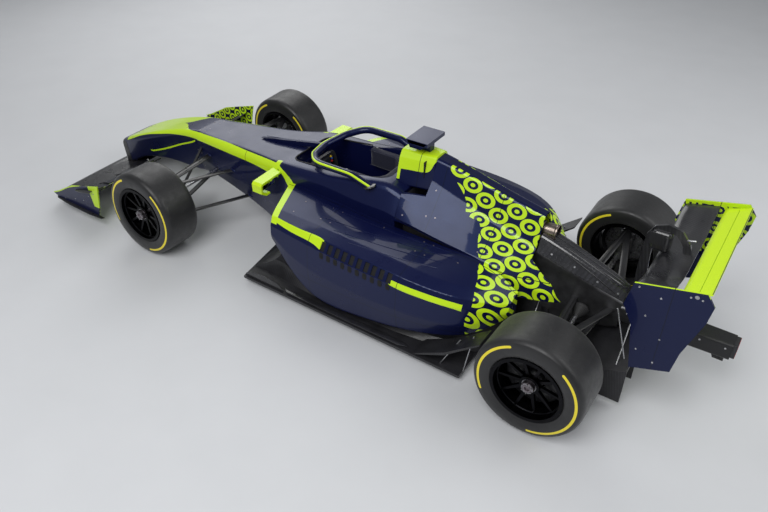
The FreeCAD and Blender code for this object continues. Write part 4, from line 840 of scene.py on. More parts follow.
class CAR_OT_structure(bpy.types.Operator):
    """Give the wings, floor, suspension and power unit their carbon and metal"""
    bl_idname = "car.structure"
    bl_label = "Carbon and metal"

    def execute(self, context):
        for surface, parts in (
            ("carbon", "front_wing_main_plane rear_wing_main_plane rear_wing_pylon steering_wheel"),
            ("gloss_carbon", "gearbox_cover"),
            ("matt_carbon", "floor diffuser undercuts tyre_shields seat"),
            ("dark_carbon", "front_upper_wishbones front_lower_wishbones rear_upper_wishbones rear_lower_wishbones"),
            ("alloy", "rear_uprights front_upright_left front_upright_right"),
            (casing(), "gearbox"),
            ("steel", "steering_rack"),
            ("hot_metal", "exhaust"),
            ("engine_metal", "engine"),
            ("lens", "rear_light"),
            (skid_wood(), "plank"),
        ):
            dress(surface, parts)
        return {"FINISHED"}


def tyre_rubber(corner, mark):
    """Rubber with fine rings on its walls, a scuffed tread and two plain arcs on each side."""
    made = Finish(f"tyre_rubber_{corner.name}", (0.011, 0.011, 0.012), 0.42, Sheen_Weight=0.08,
                  Sheen_Roughness=0.5)
    here = made.place()
    from_centre = made.node("ShaderNodeVectorMath", operation="SUBTRACT")
    made.feed(from_centre.inputs[0], here)
    from_centre.inputs[1].default_value = corner.centre
    up = corner.spot(1.0, 0, 0) - corner.centre
    parts = []
    for direction in (Vector((1, 0, 0)), up, corner.axis):
        along = made.node("ShaderNodeVectorMath", operation="DOT_PRODUCT")
        made.feed(along.inputs[0], from_centre.outputs[0])
        along.inputs[1].default_value = direction
        parts.append(along.outputs["Value"])
    ahead, high, out = parts
    radius = made.length(ahead, high)
    turn = made.math("ARCTAN2", ahead, high)
    outer = made.above(made.size(out), corner.half - 0.03)
    arcs = []
    for start, end in ((25, 115), (-170, -40)):
        middle, reach = math.radians(start + end) / 2, math.radians(end - start) / 2
        past = made.math("MAXIMUM", made.minus(made.size(made.minus(turn, middle)), reach), 0.0)
        away = made.length(made.times(past, MARK_RADIUS), made.minus(radius, MARK_RADIUS))
        arcs.append(made.spread(away, 0.0072, 0.008, 1.0, 0.0))
    marks = made.both(made.either(*arcs), outer)
    drift = made.noise(here, 7, 4)
    dust = made.spread(made.noise(here, 60, 4), 0.55, 0.8)
    tread = made.spread(radius, TYRE_RADIUS - 0.0025, TYRE_RADIUS - 0.0005)
    black = made.mix(made.spread(drift, 0.3, 0.7), (0.009, 0.009, 0.01), (0.015, 0.015, 0.016))
    scuffed = made.mix(made.both(dust, tread), black, (0.028, 0.028, 0.028))
    made.put("Base Color", made.mix(marks, scuffed, mark))
    made.rough(made.noise(here, 25), 0.36, 0.52)
    rings = made.math("SINE", made.times(radius, 2 * math.pi / 0.0042))
    wall = made.between(radius, 0.222, 0.262)
    grooves = made.times(made.math("SINE", made.times(out, 2 * math.pi / 0.0026)), tread)
    height = made.line(made.both(rings, wall), 0.5, made.noise(here, 350, 2))
    made.bump(made.line(grooves, 0.25, height), 0.0004, 0.35)
    return made.material


def tyre_outline(half, edge):
    """Outline of a tyre from one bead over the tread to the other."""
    outer = [(0.2152, half - 0.0125), (0.2185, half - 0.0085), (0.225, half - 0.0042), (0.229, half - 0.0046),
             (0.233, half - 0.0026), (0.248, half - 0.0008), (0.265, half), (0.28, half - 0.0008)]
    shoulder = [(TYRE_RADIUS - edge * (1 - math.cos(a)), half - 0.002 - edge * 1.45 * (1 - math.sin(a)))
                for a in (math.radians(d) for d in (72, 58, 44, 30, 16, 5))]
    top = outer + shoulder + [(TYRE_RADIUS, half * 0.55)]
    return top + [(r, -a) for r, a in reversed(top)]


class CAR_OT_tyres(bpy.types.Operator):
    """Turn the rounded tyres in place of the plain ones"""
    bl_idname = "car.tyres"
    bl_label = "Tyres"

    def execute(self, context):
        mark = tuple(context.scene.car_colours.tyre_mark)
        edge = context.scene.car_sizes.tyre_edge
        for corner in CORNERS:
            piece = corner.ring(tyre_outline(corner.half, edge), 120)
            settle(piece, f"tyre_{corner.name}_rounded", tyre_rubber(corner, mark), corner.wheel, 40)
            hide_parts(f"tyre_{corner.name}")
        return {"FINISHED"}


class CAR_OT_wheels(bpy.types.Operator):
    """Finish the rims with bright lips, nuts, balance weights and the covers behind their spokes"""
    bl_idname = "car.wheels"
    bl_label = "Wheels"

    def execute(self, context):
        for corner in CORNERS:
            dress("black_alloy", f"rim_{corner.name}")
            dress("steel", f"hub_{corner.name}")
            flange = corner.rim_half + 0.009
            lip = [(0.2118 + 0.0022 * math.cos(turn), flange + 0.0022 * math.sin(turn))
                   for turn in (i * math.pi / 4 for i in range(8))]
            corner.fit(corner.ring(lip, 96), "rim_lip", "steel")
            face = corner.rim_half - SPOKE_RECESS[corner.end]
            step = [(0.186, -0.004), (0.192, 0.001), (0.1935, -0.006), (0.1935, -0.024), (0.187, -0.022)]
            corner.fit(corner.ring([(r, face + out) for r, out in step], 96), "rim_step", "black_alloy")
            foot = face - 0.004
            nut = [(0.0, 0.02), (0.013, 0.02), (0.016, 0.03), (0.024, 0.032), (0.036, 0.024), (0.039, 0.004),
                   (0.0335, 0.001), (0.0335, -0.002), (0.0, -0.002)]
            corner.fit(corner.ring([(r, foot + out) for r, out in nut], 48), "wheel_nut", "titanium")
            corner.fit(corner.pegs(0.03, range(0, 360, 60), foot + 0.02, 0.014, 0.005, 0.0042, 12), "nut_pegs",
                       "alloy")
            drum = corner.ring([(0.07, 0.04), (0.1, 0.046), (0.15, 0.046), (0.166, 0.04), (0.172, 0.028),
                                (0.172, -0.054), (0.1685, -0.054), (0.1685, 0.026), (0.163, 0.036),
                                (0.148, 0.042), (0.1, 0.042), (0.07, 0.036)], 72)
            corner.fit(drum, "brake_cover", "dark_carbon", corner.carrier)
            corner.fit(corner.pegs(0.122, range(0, 360, 20), 0.0455, 0.0022, 0.0085, 0.0075, 14),
                       "brake_cover_vents", "plastic", corner.carrier)
            weight = [corner.spot(0.1865, angle, 0.02) for angle in (137, 140, 143)]
            corner.fit(tube(weight, 0.0022), "balance_weight", "alloy")
            corner.fit(corner.pegs(0.176, (197,), face - 0.012, 0.02, 0.0032, 0.0026, 12)[0], "valve", "plastic")
        return {"FINISHED"}


def surface_spot(names, start, direction, lift):
    """Where a line from a place first meets the named nodes, and the way that the surface faces."""
    start, direction = Vector(start), Vector(direction).normalized()
    found = []
    for name in names.split():
        hit, spot, normal = nodes[name].ray_cast(start, direction)[:3]
        if hit:
            found.append(((spot - start).length, spot, normal))
    if not found:
        raise RuntimeError(f"nothing of {names} lies on the line from {tuple(start)}")
    spot, normal = min(found, key=lambda each: each[0])[1:]
    if normal.dot(direction) > 0:
        normal = -normal
    return spot + normal * lift, normal


def from_above(names, x, y, lift=SINK):
    """Where the named nodes' top lies, and the way it faces."""
    return surface_spot(names, at(x, y, ABOVE), (0, 0, -1), lift)


def from_side(names, x, side, z, lift=SINK):
    """Where the named nodes' outer face lies on one side, and the way it faces."""
    return surface_spot(names, at(x, side * BESIDE, z), (0, -side, 0), lift)


def round_the_car(points, *middle):
    """The points, any in the middle plane, then the mirror images in reverse order."""
    return [*points, *middle, *(Vector((p.x, -p.y, p.z)) for p in reversed(points))]


def round_path(points, radius, steps=7, closed=False):
    """A path through the points with its corners rounded."""
    points = [Vector(p) for p in points]
    count = len(points)
    path = [] if closed else [points[0]]
    for i in range(0 if closed else 1, count if closed else count - 1):
        before, point, after = points[i - 1], points[i], points[(i + 1) % count]
        back, ahead = (before - point).normalized(), (after - point).normalized()
        half = back.angle(ahead) / 2
        reach = min(radius / math.tan(half), (before - point).length * 0.46, (after - point).length * 0.46)
        start, end = point + back * reach, point + ahead * reach
        for step in range(steps + 1):
            t = step / steps
            path.append(start * (1 - t) ** 2 + point * (2 * t * (1 - t)) + end * t ** 2)
    if not closed:
        path.append(points[-1])
    return path


def strap(spots, width, thickness, across=(0, 1, 0)):
    """A flat belt along a row of places; across is its width's direction."""
    deselect()
    bpy.ops.mesh.primitive_grid_add(x_subdivisions=1, y_subdivisions=len(spots) - 1, size=1)
    piece = bpy.context.object
    corners = sorted(piece.data.vertices, key=lambda corner: (round(corner.co.y, 4), corner.co.x))
    reach = Vector(across).normalized() * (width / 2)
    for left, right, spot in zip(corners[::2], corners[1::2], spots):
        left.co, right.co = spot - reach, spot + reach
    modify(piece, "SUBSURF", levels=2, render_levels=2)
    modify(piece, "SOLIDIFY", thickness=thickness, offset=0)
    return bevelled(piece, thickness * 0.3, 1)


def mirror_glass():
    made = Finish("mirror_glass", (0.75, 0.78, 0.8), 0.03, 1.0)
    here = made.place()
    made.rough(made.noise(here, 30), 0.02, 0.07)
    made.put("Base Color", made.mix(made.noise(here, 8), (0.72, 0.75, 0.78), (0.8, 0.82, 0.84)))
    return made.material


def screen_glass():
    """A dark display with plain bars of light, no signs on it. The camera pod's lenses take it too, and on them the
    glow is painted light.
    """
    made = Finish("display_glass", (0.004, 0.005, 0.006), 0.12, Coat_Weight=1.0)
    y, z = made.parts(made.place())[1:]
    bars = made.both(made.above(made.teeth(y, 0.016), 0.2), made.above(made.teeth(z, 0.012), 0.3))
    lit = made.mix(bars, (0.004, 0.005, 0.006), (0.02, 0.1, 0.13))
    made.put("Base Color", lit)
    made.put("Emission Color", lit)
    made.put("Emission Strength", 0.4)
    return made.material


def radiator_core():
    made = Finish("radiator_core", (0.045, 0.045, 0.048), 0.5, 0.8)
    y, z = made.parts(made.place())[1:]
    rows = made.teeth(z, 0.011)
    made.put("Base Color", made.mix(made.above(rows, 0.1), (0.1, 0.1, 0.1), (0.02, 0.02, 0.022)))
    made.bump(made.math("ADD", made.teeth(y, 0.0035), rows), 0.0012, 0.7)
    return made.material


WHEEL_SPOT = (2.0751, 0.0, 0.64)
WHEEL_TILT = math.radians(12)


def wheel_place(across, up, out):
    """A place on the steering wheel: to the left, up its face and out of it towards the driver."""
    x = WHEEL_SPOT[0] + math.sin(WHEEL_TILT) * up - math.cos(WHEEL_TILT) * out
    z = WHEEL_SPOT[2] + math.cos(WHEEL_TILT) * up + math.sin(WHEEL_TILT) * out
    return at(x, across, z)


WHEEL_OUT = Vector((-math.cos(WHEEL_TILT), 0, math.sin(WHEEL_TILT)))


class CAR_OT_steering_wheel(bpy.types.Operator):
    """Fit the steering wheel's grips, display, buttons, dials and paddles"""
    bl_idname = "car.steering_wheel"
    bl_label = "Steering wheel"

    def execute(self, context):
        body = "steering_column"
        turn = Matrix.Translation(at(*WHEEL_SPOT)) @ Matrix.Rotation(WHEEL_TILT, 4, "Y")
        screen = block((-0.0035, -0.048, 0.004), (0.001, 0.048, 0.052), 0.003)
        screen.matrix_world = turn @ screen.matrix_world
        settle(screen, "wheel_display", screen_glass(), body)
        frame_ring = plate([turn @ Vector((-0.002, y, z)) for y, z in
                            ((-0.054, -0.002), (0.054, -0.002), (0.06, 0.03), (0.05, 0.06), (-0.05, 0.06),
                             (-0.06, 0.03))], 0.003)
        settle(frame_ring, "wheel_display_frame", "plastic", body)
        for name, spots in (
            ("red", ((0.072, 0.052), (-0.072, 0.016))),
            ("yellow", ((-0.072, 0.052), (0.03, -0.06))),
            ("green", ((0.072, 0.016), (-0.03, -0.06))),
            ("blue", ((0.08, 0.034), (-0.08, 0.034))),
        ):
            made = []
            for across, up in spots:
                start = wheel_place(across, up, -0.002)
                made += [rod(start, start + WHEEL_OUT * 0.01, 0.0062, 0.0052, 16),
                         lathe([(0.0066, 0.0), (0.0085, 0.0), (0.0082, 0.005), (0.0068, 0.006)], start, WHEEL_OUT, 20)]
            settle(made, f"wheel_buttons_{name}", f"{name}_plastic", body)
        dials = []
        for across, up in ((0.0, -0.02), (0.034, -0.03), (-0.034, -0.03), (0.0, -0.052)):
            start = wheel_place(across, up, -0.002)
            dials.append(rod(start, start + WHEEL_OUT * 0.008, 0.0105, 0.0095, 12))
            dials.append(rod(start + WHEEL_OUT * 0.007, start + WHEEL_OUT * 0.013, 0.006, 0.0052, 10))
        settle(dials, "wheel_dials", "grey_plastic", body)
        grips, paddles = [], []
        for side in SIDES:
            path = [wheel_place(side * across, up, -0.017) for across, up in
                    ((0.095, 0.071), (0.123, 0.058), (0.121, 0.0), (0.123, -0.058), (0.095, -0.071))]
            grips.append(tube(round_path(path, 0.03), 0.0185, detail=4))
            for low, high, out in ((-0.004, 0.046, -0.05), (-0.062, -0.012, -0.046)):
                middle = (low + high) / 2
                paddles.append(plate([wheel_place(side * across, up, out - back) for across, up, back in
                                      ((0.03, middle + 0.008, 0), (0.03, middle - 0.008, 0), (0.085, low, 0.004),
                                       (0.105, low + 0.01, 0.006), (0.105, high - 0.01, 0.006),
                                       (0.085, high, 0.004))], 0.003))
        settle(grips, "wheel_grips", "rubber", body)
        settle(paddles, "wheel_paddles", "matt_carbon", body)
        hub = lathe([(0.017, -0.04), (0.034, -0.04), (0.036, -0.052), (0.03, -0.066), (0.017, -0.068)],
                    wheel_place(0, 0, 0), WHEEL_OUT, 40)
        settle(hub, "wheel_release_collar", "alloy", body)
        return {"FINISHED"}


def filled(piece, voxel, pressure, cap):
    """Swells a pad's remeshed skin with cloth pressure, no point moving further than the cap."""
    modify(piece, "REMESH", mode="VOXEL", voxel_size=voxel)
    before = [vertex.co.copy() for vertex in piece.data.vertices]
    chosen(piece)
    modifier = piece.modifiers.new("cloth", "CLOTH")
    settings = modifier.settings
    settings.use_pressure = True
    settings.uniform_pressure_force = pressure
    settings.tension_stiffness = settings.compression_stiffness = 40
    settings.bending_stiffness = 4
    settings.effector_weights.gravity = 0
    for step in range(1, 21):
        bpy.context.scene.frame_set(step)
    bpy.ops.object.modifier_apply(modifier=modifier.name)
    bpy.context.scene.frame_set(1)
    for vertex, start in zip(piece.data.vertices, before):
        moved = vertex.co - start
        if moved.length > cap:
            vertex.co = start + moved.normalized() * cap
    modify(piece, "SMOOTH", factor=0.5, iterations=4)
    return piece


class CAR_OT_headrest(bpy.types.Operator):
    """Shape the padded headrest round the driver's head"""
    bl_idname = "car.headrest"
    bl_label = "Headrest"

    def execute(self, context):
        right = [(1.395, -0.21), (1.784, -0.21), (1.784, -0.16), (1.56, -0.156), (1.505, -0.13), (1.486, -0.08)]
        pad = plate(round_the_car([at(x, y, 0.735) for x, y in right]), 0.14, 0.01, 3)
        pad = filled(pad, 0.006, 4.0, 0.005)
        modify(pad, "SUBSURF", levels=1, render_levels=1)
        settle(pad, "headrest_pad", "padding", "chassis", 60)
        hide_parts("headrest")
        lines = [[at(1.786, 0.156, z), at(1.56, 0.153, z), at(1.484, 0.1, z)] for z in (0.794, 0.676)]
        settle([tube(round_path(round_the_car(line), 0.05), 0.0016) for line in lines], "headrest_piping", "webbing")
        pins = bolts([(at(x, side * 0.186, 0.811), (0, 0, 1)) for x in (1.44, 1.74) for side in SIDES], 0.008, 0.004)
        settle(pins, "headrest_catches", "alloy")
        return {"FINISHED"}


SEAT_LINE = [(1.43, 0.578), (1.478, 0.56), (1.497, 0.5), (1.524, 0.424), (1.592, 0.312), (1.665, 0.192),
             (1.735, 0.166), (1.9, 0.128), (2.04, 0.122)]


class CAR_OT_seat(bpy.types.Operator):
    """Line the seat with its padded inserts and lay the harness on it"""
    bl_idname = "car.seat"
    bl_label = "Seat and harness"

    def execute(self, context):
        for name, side, width in (("left", 0.082, 0.074), ("right", -0.082, 0.074), ("middle", 0.0, 0.07)):
            line = round_path([at(x + 0.004, side, z + 0.004) for x, z in SEAT_LINE[1:8]], 0.06, 4)
            pad = strap(line, width, 0.012)
            settle(pad, f"seat_insert_{name}", "foam", angle=50)
        belts = []
        for side in SIDES:
            for path, width, across in (
                (((1.425, 0.075, 0.592), (1.478, 0.072, 0.584), (1.512, 0.066, 0.505), (1.56, 0.058, 0.4),
                  (1.64, 0.046, 0.272), (1.722, 0.024, 0.2)), 0.048, (0, 1, 0.15 * side)),
                (((1.64, 0.176, 0.268), (1.672, 0.13, 0.226), (1.722, 0.074, 0.203), (1.745, 0.03, 0.197)), 0.044,
                 (0.8, 0, 0.6)),
                (((1.765, 0.018, 0.192), (1.83, 0.028, 0.166), (1.93, 0.034, 0.138)), 0.04, (0, 1, 0)),
            ):
                line = round_path([at(x, side * y, z) for x, y, z in path], 0.05, 4)
                belts.append(strap(line, width, 0.0022, across))
        settle(belts, "harness_belts", "webbing", angle=50)
        tilted = Vector((-0.45, 0, 0.9)).normalized()
        heart = lathe([(0.0, 0.0), (0.03, 0.0), (0.034, 0.004), (0.034, 0.014), (0.028, 0.019), (0.012, 0.019),
                       (0.01, 0.016), (0.0, 0.016)], at(1.744, 0, 0.196), tilted, 40)
        settle(heart, "harness_buckle", "alloy")
        tongues = []
        for out in (around(angle) for angle in (30, 90, 150, 210, 270, 330)):
            start = at(1.744, 0, 0.203) + out * 0.03
            tongues.append(rod(start, start + out * 0.02, 0.009, 0.007, 12, flat=0.25))
        settle(tongues, "harness_tongues", "steel")
        settle([block(at(1.6, y - 0.026, 0.322), at(1.622, y + 0.026, 0.334)) for y in (0.052, -0.052)],
               "harness_adjusters", "steel")
        edge = round_the_car([at(1.8, 0.2165, 0.8015), at(2.022, 0.2165, 0.7765), at(2.214, 0.2165, 0.759)])
        settle(tube(round_path(edge, 0.09), 0.0055, detail=3), "cockpit_edge_strip", "rubber")
        return {"FINISHED"}


def hoop_path():
    """The cockpit hoop's middle line, from the left foot round the front to the right one."""
    left = [at(1.46, 0.29, 0.812), at(1.61, 0.3, 0.867), at(1.91, 0.3, 0.867), at(2.015, 0.186, 0.842)]
    return round_path(round_the_car(left, at(2.075, 0, 0.817)), 0.15, 8)


class CAR_OT_hoop(bpy.types.Operator):
    """Lay the bright line round the cockpit hoop and finish its feet"""
    bl_idname = "car.hoop"
    bl_label = "Cockpit hoop"

    def execute(self, context):
        path = hoop_path()
        line = []
        for index, spot in enumerate(path):
            tangent = (path[min(index + 1, len(path) - 1)] - path[max(index - 1, 0)]).normalized()
            out = Vector((-tangent.y, tangent.x, 0)).normalized()
            if out.dot(Vector((spot.x - at(1.75, 0, 0).x, spot.y * 2, 0))) < 0:
                out = -out
            line.append(spot + out * 0.0175 + Vector((0, 0, 0.015)))
        settle(tube(line, 0.008, detail=3, steps=3), "hoop_line", "lime")
        lean = (0.35, 0, 0.94)
        settle([lathe([(0.0, -0.006), (0.04, -0.006), (0.044, 0.0), (0.042, 0.006), (0.031, 0.01), (0.0, 0.01)],
                      at(1.468, side * 0.29, 0.818), lean, 36) for side in SIDES], "hoop_foot_collars", "carbon")
        spots = [(at(1.47, side * 0.29, 0.8255) + around(angle) * 0.037, lean)
                 for side in SIDES for angle in (20, 110, 200, 290)]
        settle(bolts(spots, 0.0042, 0.003), "hoop_foot_bolts", "steel")
        settle([tube([at(2.16, y, 0.795), at(2.4, y, 0.765), at(2.66, y, 0.724)], 0.0018)
                for y in (0.0135, -0.0135)], "hoop_blade_edges", "navy")
        return {"FINISHED"}


class CAR_OT_mirrors(bpy.types.Operator):
    """Fit the mirrors' glass, the camera pod's lenses and fins and the intake's splitters"""
    bl_idname = "car.mirrors"
    bl_label = "Mirrors, camera and intake"

    def execute(self, context):
        rim = both(block(at(2.2365, 0.392, 0.6405), at(2.24, 0.513, 0.7), 0.0016))
        settle(rim, "mirror_rims", "plastic")
        glass = both(block(at(2.235, 0.397, 0.6455), at(2.237, 0.508, 0.695), 0.0009))
        settle(glass, "mirror_glass", mirror_glass())
        fins = both(reshaped(at(1.15, 0.1045, 1.082), at(1.3, 0.108, 1.133), (0, 0, -1), (0.55, 1, 1),
                             (0.012, 0, 0), 0.001))
        settle(fins, "camera_fins", "navy")
        lens = [(0.0, 0.0), (0.0095, 0.0), (0.0095, 0.0022), (0.0075, 0.0022), (0.006, 0.001), (0.0, 0.0016)]
        # The lenses take the display's glowing glass, so their glow and bars of light are painted light; a lens gives
        # none.
        settle([lathe(lens, at(1.3035, side * 0.066, 1.123), (1, 0, 0), 28) for side in SIDES], "camera_lenses",
               screen_glass())
        settle([block(at(1.225, -0.0035, 0.826), at(1.342, 0.0035, 1.026), 0.0012),
                block(at(1.235, -0.106, 0.9465), at(1.336, 0.106, 0.9525), 0.0012)],
               "intake_splitters", "carbon")
        settle(block(at(1.16, -0.112, 0.834), at(1.168, 0.112, 1.004), 0.002), "intake_screen", radiator_core())
        return {"FINISHED"}


class CAR_OT_front_wing(bpy.types.Operator):
    """Add the front wing's brackets, trailing strips, footplates, strakes and the nose's tip"""
    bl_idname = "car.front_wing"
    bl_label = "Front wing and nose"

    def execute(self, context):
        tip = twin_of(nodes["nose_cone"])
        chosen(tip)
        mode("EDIT")
        bpy.ops.mesh.select_all(action="SELECT")
        bpy.ops.mesh.remove_doubles(threshold=0.00001)
        bpy.ops.mesh.bisect(plane_co=at(4.222, 0, 0), plane_no=(1, 0, 0), clear_inner=True)
        bpy.ops.mesh.select_all(action="SELECT")
        bpy.ops.mesh.bisect(plane_co=at(4.222, 0, 0.318), plane_no=(0.08, 0, 1), clear_outer=True)
        mode("OBJECT")
        tip.data.materials.clear()
        modify(tip, "SOLIDIFY", thickness=0.0016, offset=1)
        settle(tip, "nose_tip_cap", "matt_carbon")
        bracket = ((4.15, 0.112), (4.06, 0.16), (3.96, 0.186), (3.87, 0.246), (3.79, 0.296), (3.778, 0.288),
                   (3.86, 0.216), (3.93, 0.16), (4.06, 0.12), (4.14, 0.098))
        brackets = [plate([at(x, y, z) for x, z in bracket], 0.003, 0.0008, 1) for y in (0.255, 0.43, 0.605, 0.78)]
        settle(both(brackets), "front_wing_brackets", "matt_carbon")
        strips = both(block(at(3.7625, 0.196, 0.2855), at(3.7665, 0.878, 0.2975), 0.0009))
        settle(strips, "front_wing_trailing_strips", "dark_carbon")
        foot = both(plate([at(x, y, 0.0835) for x, y in
                           ((4.33, 0.892), (4.3, 0.912), (4.12, 0.928), (3.86, 0.93), (3.715, 0.918),
                            (3.7, 0.892))], 0.005, 0.0012))
        settle(foot, "front_wing_footplates", "carbon")
        strake = ((4.35, -0.012, 0.088), (4.33, -0.01, 0.062), (4.16, 0.012, 0.056), (4.12, 0.016, 0.066),
                  (4.12, 0.016, 0.104))
        strakes = [plate([at(x, y + out, z) for x, out, z in strake], 0.003, 0.0008, 1) for y in (0.36, 0.52, 0.68)]
        settle(both(strakes), "front_wing_strakes", "dark_carbon")
        winglets = both(plate([at(x, y, z) for x, y, z in
                               ((3.99, 0.897, 0.262), (3.9, 0.897, 0.292), (3.76, 0.897, 0.322),
                                (3.755, 0.934, 0.318), (3.89, 0.936, 0.286), (3.985, 0.915, 0.258))],
                              0.0035, 0.0008, 1))
        settle(winglets, "front_endplate_winglets", "carbon")
        spots = [(at(x, side * 0.8962, z), (0, side, 0)) for side in SIDES
                 for x, z in ((4.2, 0.108), (4.05, 0.15), (3.93, 0.175), (3.84, 0.245), (3.76, 0.29))]
        settle(bolts(spots, 0.0055, 0.0022), "front_endplate_bolts", "steel")
        heads = []
        for side in SIDES:
            heads += [from_above("nose_cone", x, side * y) for x, y in
                      ((3.285, 0.055), (3.285, 0.105), (4.135, 0.09), (4.135, 0.05))]
            heads += [from_above("monocoque", 3.225, side * y) for y in (0.055, 0.105)]
            heads += [from_side("nose_cone", 3.29, side, z) for z in (0.5, 0.38)]
            heads += [from_side("monocoque", 3.22, side, z) for z in (0.5, 0.38)]
        settle(bolts(heads, 0.006, 0.0015), "nose_fasteners", "titanium")
        starts = [at(3.905, side * 0.215, 0.205) for side in SIDES]
        settle([rod(start, start + Vector((0.02, 0, 0.04)), 0.008, 0.007, 12) for start in starts],
               "flap_adjusters", "alloy")
        return {"FINISHED"}


def mouth_place(y, z):
    """A place on the slanted plane of a sidepod's mouth."""
    return at(2.14 - 0.3793 * (y - 0.33), y, z)


class CAR_OT_sidepods(bpy.types.Operator):
    """Finish the sidepods and the cover: mouth lips, radiator cores, creases and fasteners"""
    bl_idname = "car.sidepods"
    bl_label = "Sidepods and cover"

    def execute(self, context):
        lip = tube(round_path([mouth_place(0.352, 0.603), mouth_place(0.6885, 0.577), mouth_place(0.6885, 0.479),
                               mouth_place(0.352, 0.479)], 0.022, 5, True), 0.0042, closed=True, steps=3)
        settle(both(lip), "mouth_lips", "carbon")
        core = both(block(at(1.597, 0.353, 0.481), at(1.607, 0.686, 0.596), 0.001))
        settle(core, "radiator_cores", radiator_core())
        vane = both(block(at(1.64, 0.356, 0.5265), at(2.01, 0.684, 0.5305), 0.001))
        settle(vane, "mouth_vanes", "carbon")
        creases = []
        for points in (
            ((2.06, 0.372), (1.95, 0.392), (1.75, 0.4), (1.5, 0.398), (1.2, 0.388), (0.95, 0.374), (0.8, 0.36)),
            ((1.7, 0.52), (1.5, 0.5), (1.2, 0.466), (0.95, 0.43), (0.72, 0.396)),
            ((1.55, 0.59), (1.3, 0.56), (1.05, 0.52), (0.8, 0.47)),
            ((1.4, 0.64), (1.15, 0.605), (0.95, 0.57), (0.8, 0.53)),
        ):
            spots = [from_above("sidepod_left", x, y, 0.0002)[0] for x, y in points]
            creases.append(tube(spots, 0.0026, detail=3, steps=8))
        settle(both(creases), "sidepod_creases", "navy")
        walls = []
        for x, levels in ((1.236, (0.7, 0.75, 0.8)), (1.085, (0.72, 0.8, 0.88, 0.95))):
            edge = [from_side("engine_cover airbox", x, 1, z, -0.004)[0] for z in levels]
            walls.append(plate([Vector((REAR_AXLE_X + x, p.y, p.z)) for p in round_the_car(edge)], 0.003))
        settle(walls, "cover_bulkheads", "matt_carbon")
        # Painted shade: dark plates sunk into each louvre slot, and dark strips laid on the side below the slots,
        # stand for the shade inside the openings.
        dark, below = [], []
        turn = math.radians(52)
        slope, face = Vector((0, math.cos(turn), -math.sin(turn))), Vector((0, math.sin(turn), math.cos(turn)))
        for share in (index / 9 for index in range(10)):
            x = 1.0251 + 0.5172 * share
            middle = at(x, 0.7252 - 0.003 * share, 0.5298 + 0.0279 * share) - face * 0.004
            dark.append(plate([middle + Vector((a, 0, 0)) + slope * b for a, b in
                               ((-0.0165, -0.0315), (0.0165, -0.0315), (0.0165, 0.0315), (-0.0165, 0.0315))], 0.002))
            spots = []
            for z in (0.5 + 0.026 * share - drop for drop in (0.0, 0.016, 0.032, 0.048)):
                ahead, behind = (from_side("sidepod_left", x + shift, 1, z, 0.0)[0] for shift in (-0.024, 0.024))
                spots.append((ahead + behind) / 2 + Vector((0, 0.0004, 0)))
            below.append(strap(spots, 0.031, 0.0022, (1, 0, 0)))
        settle(both(dark), "louvre_shade_plates", "vent_black")
        settle(both(below), "louvre_shade_strips", "vent_black")
        heads = []
        for side, pod in ((1, "sidepod_left"), (-1, "sidepod_right")):
            heads += [from_above(pod, x, side * y) for x, y in
                      ((1.9, 0.45), (1.9, 0.58), (1.7, 0.4), (1.7, 0.54), (1.62, 0.4), (1.62, 0.54),
                       (1.3, 0.375), (1.0, 0.36), (1.0, 0.47), (0.93, 0.36), (0.93, 0.47), (0.72, 0.42))]
            heads += [from_side("engine_cover airbox", x, side, z) for x, z in
                      ((1.2, 0.7), (1.05, 0.72), (1.05, 0.85), (0.99, 0.72), (0.65, 0.62), (0.59, 0.62))]
        settle(bolts(heads, 0.0055, 0.0014), "panel_fasteners", "titanium")
        return {"FINISHED"}


class CAR_OT_floor_edges(bpy.types.Operator):
    """Fit the floor's edge wings, fences, stays and the diffuser's strips"""
    bl_idname = "car.floor_edges"
    bl_label = "Floor edges"

    def execute(self, context):
        wing = plate([at(x, y, 0.0745) for x, y in
                      ((1.9, 0.752), (1.86, 0.786), (1.3, 0.792), (0.92, 0.79), (0.86, 0.77), (0.9, 0.746),
                       (1.3, 0.748))], 0.0045, 0.0015)
        settle(both(wing), "floor_edge_wings", "carbon")
        posts = [block(at(x - 0.012, 0.764, 0.058), at(x + 0.012, 0.768, 0.074), 0.0008, 1)
                 for x in (0.95, 1.2, 1.45, 1.7, 1.86)]
        settle(both(posts), "floor_wing_posts", "matt_carbon")
        fences = plate([at(x, 0.781, z) for x, z in
                        ((2.25, 0.058), (2.246, 0.08), (2.18, 0.112), (2.06, 0.126), (1.94, 0.112),
                         (1.9, 0.082), (1.89, 0.058))], 0.004, 0.001)
        settle(both(fences), "floor_fences", "carbon")
        stays = [rod(at(*start), at(*end), 0.0042, sides=12) for start, end in (
            ((0.62, 0.765, 0.06), (0.52, 0.705, 0.262)), ((0.47, 0.745, 0.06), (0.44, 0.69, 0.32)),
            ((0.232, 0.44, 0.06), (0.262, 0.118, 0.36)), ((-0.33, 0.4, 0.262), (-0.3, 0.085, 0.4)))]
        settle(both(stays), "floor_stays", "steel")
        strips = block(at(-0.405, -0.449, 0.2985), at(-0.401, 0.449, 0.312), 0.001, 1)
        settle(strips, "diffuser_strip", "carbon")
        pads = [(at(x, side * 0.105, 0.03), (0, 0, -1)) for x in (0.45, 0.85, 1.25, 1.65, 2.05) for side in SIDES]
        settle(bolts(pads, 0.016, 0.0012), "skid_pucks", "titanium")
        return {"FINISHED"}


